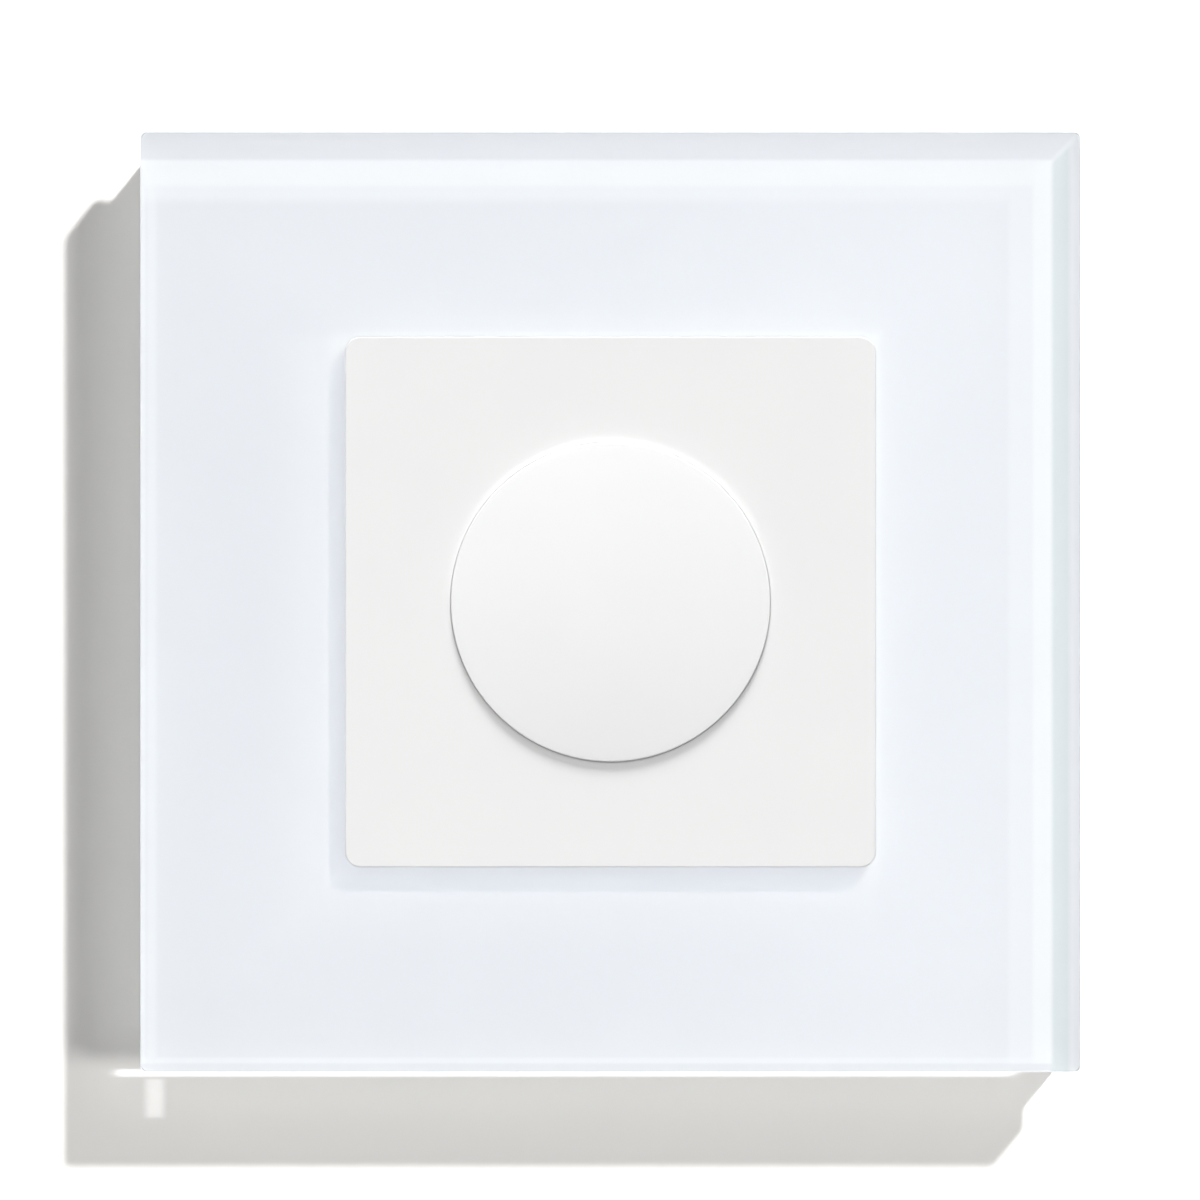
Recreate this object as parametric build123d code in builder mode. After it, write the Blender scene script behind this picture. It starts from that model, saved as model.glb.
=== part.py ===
from build123d import *
import os
from math import hypot, pi

os.makedirs("parts", exist_ok=True)

# A flush wall switch: a square clear glass panel over white film, a white insert in its
# middle, and a round button in the insert that is touched or pressed. Behind the wall's
# face hangs the mechanism's housing.
# Sizes are in millimetres. x runs to the right, y into the wall and z up. The origin is the
# middle of the switch on the face of the wall, so what stands out of the wall has y below 0.

# Glass panel, its white film and the moulded frame that carries them
panel_overhang = 8.5
panel_corner = 0.5
glass_thickness = 4.0
glass_bevel = 0.2
film_thickness = 0.3
film_margin = 0.3
carrier_margin = 0.7
carrier_head_gap = 0.4
carrier_wall = 1.6
carrier_corner = 1.2
carrier_wall_gap = 0.3
collar_wall = 1.2
collar_steel_gap = 0.4
leg_thickness = 1.4
leg_width = 9.0
leg_spacing = 36.0
leg_grip_gap = 0.1
leg_end_gap = 0.5
rib_thickness = 1.0
rib_steel_gap = 0.7
rib_spacing = 22.0

# White insert in the opening of the glass
insert_corner = 1.4
insert_plate = 1.6
insert_wall = 1.4
insert_proud = 0.3
insert_edge_round = 0.2
insert_side_gap = 0.2
insert_end_gap = 0.3
film_opening_gap = 0.1
guide_wall = 1.3
guide_depth = 2.3
crush_rib_depth = 0.3
crush_rib_width = 1.2
crush_rib_spacing = 30.0

# Round button
button_diameter = 29.8
button_step = 0.5
button_dome = 0.6
button_edge_round = 0.35
button_plate = 1.6
button_wall = 1.4
button_hole_gap = 0.1
button_stop_gap = 0.1
flange_reach = 1.2
flange_thickness = 0.8
flange_side_gap = 0.4
stem_radius = 2.0
stem_length = 1.25
stem_tip_gap = 0.05

# Steel mounting frame and the screws that fix it to the wall box, whose own centres are a standard
box_centres = 60.3
steel_edge = 3.45
steel_corner = 4.0
steel_thickness = 1.0
steel_depth = 2.2
slot_width = 3.8
slot_length = 8.0
box_screw_radius = 1.75
box_screw_neck_radius = 1.5
box_screw_length = 25.0
box_screw_head_radius = 3.4
box_screw_head_height = 2.1
box_screw_head_round = 0.8
box_screw_recess_length = 3.6
box_screw_recess_width = 0.8
box_screw_recess_depth = 1.2
head_collar_gap = 0.4

# Housing of the mechanism, its cover and the cover's screws
housing_corner = 3.0
housing_wall = 1.6
housing_side_gap = 0.3
housing_flange = 1.2
housing_flange_reach = 1.6
housing_flange_corner = 2.0
latch_reach = 0.9
latch_length = 2.0
latch_width = 6.0
latch_spacing = 18.0
latch_gap = 0.3
boss_radius = 2.3
boss_inset = 3.6
boss_depth = 9.0
boss_hole_gap = 0.05
ledge_reach = 1.4
ledge_thickness = 1.2
ledge_width = 6.0
ledge_spacing = 16.0
cover_thickness = 1.0
cover_pad_height = 0.5
cover_pad_radius = 1.5
cover_post_radius = 1.4
cover_post_inset = 4.7
housing_screw_radius = 1.0
housing_screw_length = 8.0
housing_screw_head_radius = 1.9
housing_screw_head_height = 1.2
housing_screw_head_round = 0.4
housing_screw_recess_length = 2.2
housing_screw_recess_width = 0.5
housing_screw_recess_depth = 0.7
housing_screw_hole_gap = 0.15

# Front circuit board with the push switch, the touch chip and the touch spring
front_board_margin = 2.1
front_board_chamfer = 10.0
front_board_thickness = 1.2
switch_width = 6.0
switch_height = 2.0
switch_edge_bevel = 0.3
switch_floor = 0.2
plunger_radius = 1.4
plunger_side_gap = 0.08
plunger_reach = 0.8
plunger_depth = 1.3
spring_radius = 5.2
spring_wire = 0.6
spring_turns = 3
spring_end_gap = 0.05
touch_chip_length = 4.9
touch_chip_width = 3.9
touch_chip_height = 1.4
touch_chip_inset = 5.5
touch_chip_up = 6.0
chip_edge_bevel = 0.2

# Rear circuit board
rear_board_front = 2.5
rear_board_thickness = 1.6
rear_board_side_gap = 0.3
rear_board_boss_gap = 0.7
rectifier_length = 4.7
rectifier_width = 4.0
rectifier_height = 2.3
rectifier_left = 6.0
rectifier_down = 4.0
driver_chip_length = 5.0
driver_chip_width = 4.0
driver_chip_height = 1.6
driver_chip_right = 5.0
driver_chip_down = 6.0

# Pin header between the boards
pin_pitch = 2.54
pin_count = 4
pin_width = 0.64
pin_reach = 1.0
pin_side_gap = 0.02
pin_board_hole_radius = 0.5
strip_height = 2.5
strip_width = 2.5
strip_slot_gap = 0.4
strip_relay_gap = 0.72
strip_boss_gap = 0.7
header_inset = 2.7

# Terminal block with its screws, cage clamps and brass bars
terminal_count = 3
block_wall = 1.4
block_back_wall = 1.1
block_roof = 3.8
block_end_gap = 0.2
block_window_gap = 0.2
clamp_width = 7.2
clamp_length = 7.0
clamp_wall = 0.9
clamp_floor = 1.0
clamp_roof = 2.4
clamp_side_gap = 0.3
clamp_end_gap = 0.3
clamp_start = 2.7
clamp_mouth = 1.2
clamp_least_gap = 1.2
clamp_stop_gap = 0.2
wire_space = 4.8
bar_thickness = 1.2
bar_width = 4.8
bar_slot_gap = 0.2
bar_leg_gap = 0.2
bar_roof_gap = 0.4
terminal_screw_radius = 1.5
terminal_screw_hole_gap = 0.05
terminal_screw_tip_gap = 0.05
terminal_screw_head_radius = 2.8
terminal_screw_head_height = 2.0
terminal_screw_head_round = 0.3
terminal_screw_pocket_depth = 2.4
terminal_screw_pocket_gap = 0.3
terminal_screw_seat_gap = 0.05
terminal_screw_slot_width = 0.8
terminal_screw_slot_depth = 1.0
access_hole_radius = 2.9

# Relay, in the upper left corner of the housing
relay_side_gap = 4.9
relay_top_gap = 0.7
relay_length = 19.0
relay_width = 15.5
relay_wall = 0.7
relay_lid_gap = 1.25
relay_edge_round = 0.6
relay_base_thickness = 1.2
relay_base_gap = 0.1
core_radius = 1.5
core_head_radius = 3.2
core_head_thickness = 0.5
core_bore_gap = 0.05
bobbin_tube_radius = 2.3
bobbin_flange_radius = 4.8
bobbin_flange_thickness = 0.6
bobbin_length = 8.95
bobbin_seat_gap = 0.05
bobbin_yoke_gap = 0.1
winding_radius = 4.3
winding_gap = 0.05
yoke_thickness = 1.0
yoke_width = 9.0
yoke_case_gap = 0.3
yoke_foot_reach = 4.1
armature_thickness = 0.8
armature_gap = 0.45
armature_hinge_gap = 0.05
armature_overreach = 1.6
blade_thickness = 0.3
blade_width = 4.0
blade_root = 1.6
blade_overreach = 1.3
contact_radius = 1.1
contact_gap = 0.78
moving_contact_height = 0.75
fixed_contact_height = 0.62
fixed_tab_thickness = 0.7
fixed_tab_case_gap = 0.5
fixed_tab_overhang = 1.4

# Supply transformer
transformer_side_gap = 2.1
transformer_relay_gap = 0.6
transformer_top_gap = 6.9
transformer_length = 11.2
transformer_height = 10.6
transformer_thickness = 4.6
transformer_yoke = 2.2
transformer_outer_leg = 1.4
transformer_centre_leg = 3.2
coil_leg_gap = 0.1
coil_window_gap = 0.15
coil_length = 10.0
coil_corner = 0.6

# Loose components in a row on the rear board, above the terminal bars
electrolytic_radius = 4.0
electrolytic_height = 12.5
electrolytic_groove = 0.25
electrolytic_groove_up = 2.2
electrolytic_edge_round = 0.4
electrolytic_fuse_gap = 0.4
electrolytic_bar_gap = 1.9
film_capacitor_length = 13.0
film_capacitor_width = 6.0
film_capacitor_height = 11.5
film_capacitor_edge_round = 0.5
film_capacitor_side_gap = 4.4
film_capacitor_bar_gap = 1.0
varistor_radius = 3.5
varistor_thickness = 3.6
varistor_edge_round = 1.2
varistor_seat_gap = 0.1
varistor_side_gap = 1.4
varistor_can_gap = 0.6
varistor_bar_gap = 1.5
fuse_radius = 1.5
fuse_waist_radius = 1.3
fuse_length = 10.0
fuse_cap_length = 2.2
fuse_seat_gap = 0.1
fuse_side_gap = 2.0
fuse_bar_gap = 0.7

# Depths that follow, from the wall outwards and then from the rear board into the wall
wall_face = 0
steel_front = wall_face - steel_depth
steel_back = steel_front + steel_thickness
flange_front = steel_front - housing_flange
cover_front = flange_front - cover_thickness
front_board_back = cover_front - cover_pad_height
front_board_front = front_board_back - front_board_thickness
switch_front = front_board_front - switch_height
plunger_tip = switch_front - plunger_reach
stem_tip = plunger_tip - stem_tip_gap
button_back = stem_tip - stem_length
button_rim = button_back - button_plate
button_crown = button_rim - button_dome
insert_front = button_rim + button_step
insert_back = insert_front + insert_plate
insert_rim = steel_front - insert_end_gap
flange_lip = insert_back + button_stop_gap
button_end = flange_lip + flange_thickness
glass_front = insert_front + insert_proud
glass_back = glass_front + glass_thickness
film_back = glass_back + film_thickness
carrier_back = steel_front - box_screw_head_height - carrier_head_gap
carrier_rim = wall_face - carrier_wall_gap
collar_end = steel_front - collar_steel_gap
rib_end = steel_front - rib_steel_gap
rear_board_back = rear_board_front + rear_board_thickness
clamp_front = rear_board_back + clamp_start
clamp_floor_back = clamp_front + clamp_floor
bar_front = clamp_floor_back + wire_space
bar_back = bar_front + bar_thickness
clamp_roof_front = bar_back + bar_roof_gap
clamp_back = clamp_roof_front + clamp_roof
clamp_travel = wire_space - clamp_least_gap
block_roof_front = clamp_back + clamp_travel + clamp_stop_gap
block_back = block_roof_front + block_roof
pocket_floor = block_back - terminal_screw_pocket_depth
housing_floor = block_back + block_end_gap
housing_depth = housing_floor + housing_wall

# The housing's width, which the longest of three rows needs: the row of components above the
# terminals, the relay with the transformer, and the relay with the header beside the boss
strip_length = pin_pitch * pin_count
boss_room = boss_inset - housing_wall + boss_radius
left_components = film_capacitor_side_gap + film_capacitor_length + varistor_side_gap + 2 * varistor_radius
right_components = 2 * electrolytic_radius + electrolytic_fuse_gap + 2 * fuse_radius + fuse_side_gap
component_row = left_components + varistor_can_gap + right_components
relay_room = relay_side_gap + relay_length
transformer_row = relay_room + transformer_relay_gap + transformer_length + transformer_side_gap
header_row = relay_room + strip_relay_gap + strip_length + strip_boss_gap + boss_room
housing_inner = max(component_row, transformer_row, header_row)
housing_width = housing_inner + 2 * housing_wall
inner_side = housing_inner / 2

# Widths that follow, from the housing outwards to the panel
housing_flange_width = housing_width + 2 * housing_flange_reach
insert_inner = housing_flange_width + 2 * crush_rib_depth
insert_width = insert_inner + 2 * insert_wall
opening_width = insert_width + 2 * insert_side_gap
opening_corner = insert_corner + insert_side_gap
film_opening = opening_width + 2 * film_opening_gap
collar_outer = film_opening + 2 * collar_wall
fixing_centres = max(box_centres, collar_outer + 2 * (head_collar_gap + box_screw_head_radius))
steel_width = fixing_centres + slot_width + 2 * steel_edge
panel_width = steel_width + 2 * panel_overhang
carrier_width = panel_width - 2 * carrier_margin
button_radius = button_diameter / 2
flange_radius = button_radius + flange_reach
guide_radius = flange_radius + flange_side_gap
steel_opening = housing_width + 2 * housing_side_gap
front_board_width = housing_flange_width - 2 * front_board_margin
touch_chip_left = guide_radius - touch_chip_inset
boss_offset = housing_width / 2 - boss_inset
boss_spacing = 2 * boss_offset
rear_board_width = housing_inner - 2 * rear_board_side_gap
rear_board_cut = rear_board_width / 2 - boss_offset + boss_radius + rear_board_boss_gap
cover_post_offset = housing_width / 2 - cover_post_inset

# Places of the terminals and of what stands on the rear board
channel_width = clamp_width + 2 * clamp_side_gap
terminal_pitch = channel_width + block_wall
block_width = terminal_pitch * terminal_count + block_wall
block_bottom = -housing_width / 2
clamp_bottom = block_bottom + clamp_mouth
clamp_top = clamp_bottom + clamp_length
clamp_middle = (clamp_bottom + clamp_top) / 2
channel_top = clamp_top + clamp_end_gap
block_top = channel_top + block_back_wall
bar_leg_top = block_top + bar_leg_gap + bar_thickness
terminal_places = [(index - (terminal_count - 1) / 2) * terminal_pitch for index in range(terminal_count)]
screw_hole_radius = terminal_screw_radius + terminal_screw_hole_gap
screw_pocket_radius = terminal_screw_head_radius + terminal_screw_pocket_gap
relay_middle = relay_room - relay_length / 2 - inner_side
relay_up = inner_side - relay_top_gap - relay_width / 2
header_right = relay_room - inner_side + strip_relay_gap + strip_length / 2
header_up = inner_side - header_inset
transformer_right = inner_side - transformer_side_gap - transformer_length / 2
transformer_up = inner_side - transformer_top_gap - coil_length / 2
fuse_right = inner_side - fuse_side_gap - fuse_radius
electrolytic_right = fuse_right - fuse_radius - electrolytic_fuse_gap - electrolytic_radius
film_capacitor_right = film_capacitor_side_gap + film_capacitor_length / 2 - inner_side
varistor_right = left_components - varistor_radius - inner_side

# Inside the relay, counted from its middle and from the rear board
relay_inner_half = relay_length / 2 - relay_wall
yoke_back = relay_inner_half - yoke_case_gap
coil_right = yoke_back - yoke_thickness - bobbin_yoke_gap - bobbin_flange_radius
yoke_foot_end = relay_base_thickness + yoke_thickness
bobbin_start = yoke_foot_end + bobbin_seat_gap
bobbin_end = bobbin_start + bobbin_length
core_head_start = bobbin_end + core_bore_gap
core_head_end = core_head_start + core_head_thickness
yoke_height = core_head_end + armature_gap
armature_start = yoke_height + armature_hinge_gap
armature_end = armature_start + armature_thickness
relay_height = armature_end + blade_thickness + relay_lid_gap + relay_wall
fixed_tab_left = fixed_tab_case_gap - relay_inner_half
contact_place = fixed_tab_left + fixed_tab_overhang
fixed_contact_top = armature_end - moving_contact_height - contact_gap


# The plane across the switch at one depth. It faces out of the wall, with x to the right and z up.
def across(depth):
    return Plane.XZ.offset(-depth)


# A flat body between two depths, with rounded corners.
def rounded_slab(back, front, width, height, corner, middle=(0, 0), mode=Mode.ADD):
    with BuildSketch(across(back)) as outline:
        with Locations(middle):
            RectangleRounded(width, height, corner)
    extrude(outline.sketch, amount=back - front, mode=mode)


# A flat body between two depths, with sharp corners.
def slab(back, front, width, height, middle=(0, 0), mode=Mode.ADD):
    with BuildSketch(across(back)) as outline:
        with Locations(middle):
            Rectangle(width, height)
    extrude(outline.sketch, amount=back - front, mode=mode)


# Round bodies between two depths, one at each place.
def rods(back, front, radius, places=((0, 0),), mode=Mode.ADD):
    with BuildSketch(across(back)) as outline:
        with Locations(*places):
            Circle(radius)
    extrude(outline.sketch, amount=back - front, mode=mode)


# The four corners of a square of a given side.
def corners(side):
    return [(side / 2, side / 2), (-side / 2, side / 2), (-side / 2, -side / 2), (side / 2, -side / 2)]


# The two slots of a cross recess.
def cross(length, width):
    return [(length, width), (width, length)]


# A screw along y that starts at its seat, with the head on the side that away points to: -1 out
# of the wall, 1 into it. The recess is one or two slots, each given by its length and height.
def screw(seat, away, head, shank, recess, recess_depth):
    head_radius, head_height, head_round = head
    shank_radius, shank_length = shank
    head_top = seat + away * head_height
    shank_end = seat - away * shank_length
    with BuildPart() as body:
        with BuildSketch(Plane.XY):
            with BuildLine():
                Polyline(
                    (0, head_top),
                    (head_radius, head_top),
                    (head_radius, seat),
                    (shank_radius, seat),
                    (shank_radius, shank_end),
                    (0, shank_end),
                    close=True,
                )
            make_face()
        revolve(axis=Axis.Y)
        top_edge = body.edges().filter_by(GeomType.CIRCLE).sort_by(Axis.Y)[0 if away < 0 else -1]
        fillet(top_edge, radius=head_round)
        with BuildSketch(across(head_top)):
            for slot_size in recess:
                Rectangle(*slot_size)
        extrude(amount=recess_depth, both=True, mode=Mode.SUBTRACT)
    return body.part


# The clear glass square, with its edges ground to a small bevel.
with BuildPart() as glass_panel:
    rounded_slab(glass_back, glass_front, panel_width, panel_width, panel_corner)
    rounded_slab(glass_back, glass_front, opening_width, opening_width, opening_corner, mode=Mode.SUBTRACT)
    glass_faces = glass_panel.faces().sort_by(Axis.Y)
    chamfer(glass_faces[0].edges() + glass_faces[-1].edges(), length=glass_bevel)
glass_panel.part.label = "glass_panel"
export_step(glass_panel.part, "parts/glass_panel.step")

# The white film between the glass and its carrier, which is what makes the glass look white.
with BuildPart() as bonding_film:
    film_width = panel_width - 2 * film_margin
    rounded_slab(film_back, glass_back, film_width, film_width, panel_corner)
    rounded_slab(film_back, glass_back, film_opening, film_opening, opening_corner, mode=Mode.SUBTRACT)
bonding_film.part.label = "bonding_film"
export_step(bonding_film.part, "parts/bonding_film.step")

# The moulded carrier: a plate under the film, a skirt to the wall, a collar round the insert,
# ribs between them and eight legs that grip the rim of the steel frame.
with BuildPart() as panel_carrier:
    rounded_slab(carrier_rim, film_back, carrier_width, carrier_width, carrier_corner)
    hollow = carrier_width - 2 * carrier_wall
    rounded_slab(carrier_rim, carrier_back, hollow, hollow, carrier_corner / 2, mode=Mode.SUBTRACT)
    collar_corner = opening_corner + collar_wall
    rounded_slab(collar_end, carrier_back, collar_outer, collar_outer, collar_corner)
    rounded_slab(collar_end, film_back, film_opening, film_opening, opening_corner, mode=Mode.SUBTRACT)
    leg_middle = steel_width / 2 + leg_grip_gap + leg_thickness / 2
    with BuildSketch(across(wall_face - leg_end_gap)):
        with PolarLocations(leg_middle, 4):
            with GridLocations(0, leg_spacing, 1, 2):
                Rectangle(leg_thickness, leg_width)
    extrude(amount=wall_face - leg_end_gap - carrier_back)
    rib_inner = collar_outer / 2 - collar_wall / 2
    rib_outer = carrier_width / 2 - carrier_wall / 2
    with BuildSketch(across(rib_end)):
        with PolarLocations((rib_inner + rib_outer) / 2, 4):
            with GridLocations(0, rib_spacing, 1, 2):
                Rectangle(rib_outer - rib_inner, rib_thickness)
    extrude(amount=rib_end - carrier_back)
panel_carrier.part.label = "panel_carrier"
export_step(panel_carrier.part, "parts/panel_carrier.step")

# The white insert: a plate with the button's hole, a skirt with crush ribs that sit tight on
# the housing's flange, and a round guide in which the button's flange travels.
with BuildPart() as module_front:
    rounded_slab(insert_rim, insert_front, insert_width, insert_width, insert_corner)
    fillet(module_front.faces().sort_by(Axis.Y)[0].edges(), radius=insert_edge_round)
    inner_corner = insert_corner / 2
    rounded_slab(insert_rim, insert_back, insert_inner, insert_inner, inner_corner, mode=Mode.SUBTRACT)
    with BuildSketch(across(insert_rim)):
        with PolarLocations(insert_inner / 2 - crush_rib_depth / 2, 4):
            with GridLocations(0, crush_rib_spacing, 1, 2):
                Rectangle(crush_rib_depth, crush_rib_width)
    extrude(amount=insert_rim - cover_front)
    rods(insert_back + guide_depth, insert_back, guide_radius + guide_wall)
    rods(insert_back + guide_depth, insert_back, guide_radius, mode=Mode.SUBTRACT)
    rods(insert_back, insert_front, button_radius + button_hole_gap, mode=Mode.SUBTRACT)
module_front.part.label = "module_front"
export_step(module_front.part, "parts/module_front.step")

# The button: a slightly domed disc with a rounded rim, a wall, a flange that keeps it in the
# insert, and a stem that meets the plunger of the push switch.
with BuildPart() as touch_button:
    dome_radius = (button_radius**2 + button_dome**2) / (2 * button_dome)
    with BuildSketch(Plane.XY) as button_half:
        with BuildLine():
            RadiusArc((0, button_crown), (button_radius, button_rim), -dome_radius)
            Polyline(
                (button_radius, button_rim),
                (button_radius, flange_lip),
                (flange_radius, flange_lip),
                (flange_radius, button_end),
                (button_radius - button_wall, button_end),
                (button_radius - button_wall, button_back),
                (stem_radius, button_back),
                (stem_radius, stem_tip),
                (0, stem_tip),
                (0, button_crown),
            )
        make_face()
        rim_corner = button_half.vertices().sort_by_distance((button_radius, button_rim))[0]
        fillet(rim_corner, radius=button_edge_round)
    revolve(axis=Axis.Y)
touch_button.part.label = "touch_button"
export_step(touch_button.part, "parts/touch_button.step")

# The touch spring: one open coil between the front board and the button's back.
spring_start = front_board_front - spring_end_gap - spring_wire / 2
spring_end = button_back + spring_end_gap + spring_wire / 2
spring_height = spring_start - spring_end
spring_pitch = spring_height / spring_turns
with BuildPart() as touch_spring:
    with BuildLine() as coil:
        Helix(spring_pitch, spring_height, spring_radius, center=(0, spring_start, 0), direction=(0, -1, 0))
    with BuildSketch(Plane(origin=coil.line @ 0, z_dir=coil.line % 0)):
        Circle(spring_wire / 2)
    sweep(path=coil.line, is_frenet=True)
touch_spring.part.label = "touch_spring"
export_step(touch_spring.part, "parts/touch_spring.step")
turn_length = hypot(2 * pi * spring_radius, spring_pitch)
turn_gap = spring_pitch * 2 * pi * spring_radius / turn_length - spring_wire
wire_volume = turn_length * spring_turns * pi * spring_wire**2 / 4
print(f"touch_spring least gap between turns {turn_gap:.2f} mm")
print(f"touch_spring volume {touch_spring.part.volume:.3f}, its wire's {wire_volume:.3f}")

# The front board, with its corners cut off so that the cover's screws stay in reach.
header_start = header_right - pin_pitch * (pin_count - 1) / 2
header_places = [(header_start + index * pin_pitch, header_up) for index in range(pin_count)]
with BuildPart() as touch_board:
    with BuildSketch(across(front_board_back)) as board_outline:
        Rectangle(front_board_width, front_board_width)
        chamfer(board_outline.vertices(), length=front_board_chamfer)
    extrude(amount=front_board_thickness)
    rods(front_board_back, front_board_front, pin_board_hole_radius, header_places, mode=Mode.SUBTRACT)
touch_board.part.label = "touch_board"
export_step(touch_board.part, "parts/touch_board.step")

# The push switch in the middle of the front board: a square case open towards the button.
with BuildPart() as button_switch:
    slab(front_board_front, switch_front, switch_width, switch_width)
    chamfer(button_switch.faces().sort_by(Axis.Y)[0].edges(), length=switch_edge_bevel)
    plunger_hole = plunger_radius + plunger_side_gap
    rods(front_board_front - switch_floor, switch_front, plunger_hole, mode=Mode.SUBTRACT)
button_switch.part.label = "button_switch"
export_step(button_switch.part, "parts/button_switch.step")

# The plunger of the push switch.
with BuildPart() as switch_plunger:
    rods(switch_front + plunger_depth, plunger_tip, plunger_radius)
switch_plunger.part.label = "switch_plunger"
export_step(switch_plunger.part, "parts/switch_plunger.step")


# A flat chip on the front of a board.
def chip_body(board_face, length, width, height, middle):
    slab(board_face, board_face - height, length, width, middle)


# The touch controller on the front board.
with BuildPart() as touch_chip:
    chip_middle = (-touch_chip_left, touch_chip_up)
    chip_body(front_board_front, touch_chip_length, touch_chip_width, touch_chip_height, chip_middle)
    chamfer(touch_chip.faces().sort_by(Axis.Y)[0].edges(), length=chip_edge_bevel)
touch_chip.part.label = "touch_chip"
export_step(touch_chip.part, "parts/touch_chip.step")

# The cover of the housing: it carries the front board on four pads and holds the rear board
# on its ledges with four posts. The pin header passes through its slot.
with BuildPart() as housing_cover:
    cover_corner = housing_flange_corner
    rounded_slab(flange_front, cover_front, housing_flange_width, housing_flange_width, cover_corner)
    across_places = [(side * cover_post_offset, 0) for side in (-1, 1)]
    upright_places = [(0, side * cover_post_offset) for side in (-1, 1)]
    rods(cover_front, front_board_back, cover_pad_radius, across_places + upright_places)
    post_places = [(side * cover_post_offset, up * ledge_spacing / 2) for side in (-1, 1) for up in (-1, 1)]
    rods(rear_board_front, flange_front, cover_post_radius, post_places)
    slot_size = (strip_length + 2 * strip_slot_gap, strip_width + 2 * strip_slot_gap)
    slab(flange_front, cover_front, *slot_size, (header_right, header_up), mode=Mode.SUBTRACT)
    cover_hole = housing_screw_radius + housing_screw_hole_gap
    rods(flange_front, cover_front, cover_hole, corners(boss_spacing), mode=Mode.SUBTRACT)
housing_cover.part.label = "housing_cover"
export_step(housing_cover.part, "parts/housing_cover.step")

# The four screws that hold the cover, one in each corner boss.
housing_screw = screw(
    cover_front,
    -1,
    (housing_screw_head_radius, housing_screw_head_height, housing_screw_head_round),
    (housing_screw_radius, housing_screw_length),
    cross(housing_screw_recess_length, housing_screw_recess_width),
    housing_screw_recess_depth,
)
with BuildPart() as housing_screws:
    with Locations(*[(right, 0, up) for right, up in corners(boss_spacing)]):
        add(housing_screw)
housing_screws.part.label = "housing_screws"
export_step(housing_screws.part, "parts/housing_screws.step")

# The deep housing: a flange that lies on the steel frame, four corner bosses for the screws,
# ledges for the rear board, latches behind the steel, a window for the terminal block in its
# lower wall and access holes over the terminal screws.
with BuildPart() as rear_housing:
    rounded_slab(steel_front, flange_front, housing_flange_width, housing_flange_width, housing_flange_corner)
    rounded_slab(housing_depth, steel_front, housing_width, housing_width, housing_corner)
    hollow_corner = housing_corner - housing_wall
    rounded_slab(housing_floor, flange_front, housing_inner, housing_inner, hollow_corner, mode=Mode.SUBTRACT)
    boss_places = corners(boss_spacing)
    rods(flange_front + boss_depth, flange_front, boss_radius, boss_places)
    boss_hole = housing_screw_radius + boss_hole_gap
    rods(flange_front + boss_depth, flange_front, boss_hole, boss_places, mode=Mode.SUBTRACT)
    ledge_offset = housing_inner / 2 - ledge_reach / 2
    for side in (-1, 1):
        for up in (-1, 1):
            ledge_middle = (side * ledge_offset, up * ledge_spacing / 2)
            slab(rear_board_back + ledge_thickness, rear_board_back, ledge_reach, ledge_width, ledge_middle)
    for up in (-1, 1):
        with BuildSketch(Plane.XY.offset(up * latch_spacing / 2)):
            with BuildLine():
                latch_start = steel_back + latch_gap
                Polyline(
                    (housing_width / 2, latch_start),
                    (housing_width / 2 + latch_reach, latch_start),
                    (housing_width / 2, latch_start + latch_length),
                    close=True,
                )
            make_face()
            mirror(about=Plane.YZ)
        extrude(amount=latch_width / 2, both=True)
    window_middle = (0, block_bottom + housing_wall / 2)
    window_size = (block_width + 2 * block_window_gap, housing_wall)
    slab(housing_floor, rear_board_back - block_window_gap, *window_size, window_middle, mode=Mode.SUBTRACT)
    access_places = [(place, clamp_middle) for place in terminal_places]
    rods(housing_depth, housing_floor, access_hole_radius, access_places, mode=Mode.SUBTRACT)
rear_housing.part.label = "rear_housing"
export_step(rear_housing.part, "parts/rear_housing.step")

# The pressed steel frame: a shallow pan whose rim stands on the wall, with the housing's
# opening, two upright slots for the box screws and two more above and below.
with BuildPart() as mounting_frame:
    rounded_slab(wall_face, steel_front, steel_width, steel_width, steel_corner)
    pan_width = steel_width - 2 * steel_thickness
    pan_corner = steel_corner - steel_thickness
    rounded_slab(wall_face, steel_back, pan_width, pan_width, pan_corner, mode=Mode.SUBTRACT)
    rounded_slab(steel_back, steel_front, steel_opening, steel_opening, housing_corner, mode=Mode.SUBTRACT)
    with BuildSketch(across(steel_back)):
        with Locations((-fixing_centres / 2, 0), (fixing_centres / 2, 0)):
            SlotOverall(slot_length, slot_width, rotation=90)
        with Locations((0, -fixing_centres / 2), (0, fixing_centres / 2)):
            SlotOverall(slot_length, slot_width, rotation=90)
    extrude(amount=steel_thickness, mode=Mode.SUBTRACT)
mounting_frame.part.label = "mounting_frame"
export_step(mounting_frame.part, "parts/mounting_frame.step")

# The pair of screws that fix the steel frame to the wall box. Each has a thinner neck where it
# passes through its slot.
box_screw = screw(
    steel_front,
    -1,
    (box_screw_head_radius, box_screw_head_height, box_screw_head_round),
    (box_screw_radius, box_screw_length),
    cross(box_screw_recess_length, box_screw_recess_width),
    box_screw_recess_depth,
)
with BuildPart() as box_screws:
    with Locations((-fixing_centres / 2, 0, 0), (fixing_centres / 2, 0, 0)):
        add(box_screw)
    with BuildSketch(across(steel_back)):
        with Locations((-fixing_centres / 2, 0), (fixing_centres / 2, 0)):
            Circle(box_screw_radius)
            Circle(box_screw_neck_radius, mode=Mode.SUBTRACT)
    extrude(amount=steel_thickness, mode=Mode.SUBTRACT)
box_screws.part.label = "box_screws"
export_step(box_screws.part, "parts/box_screws.step")

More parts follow.
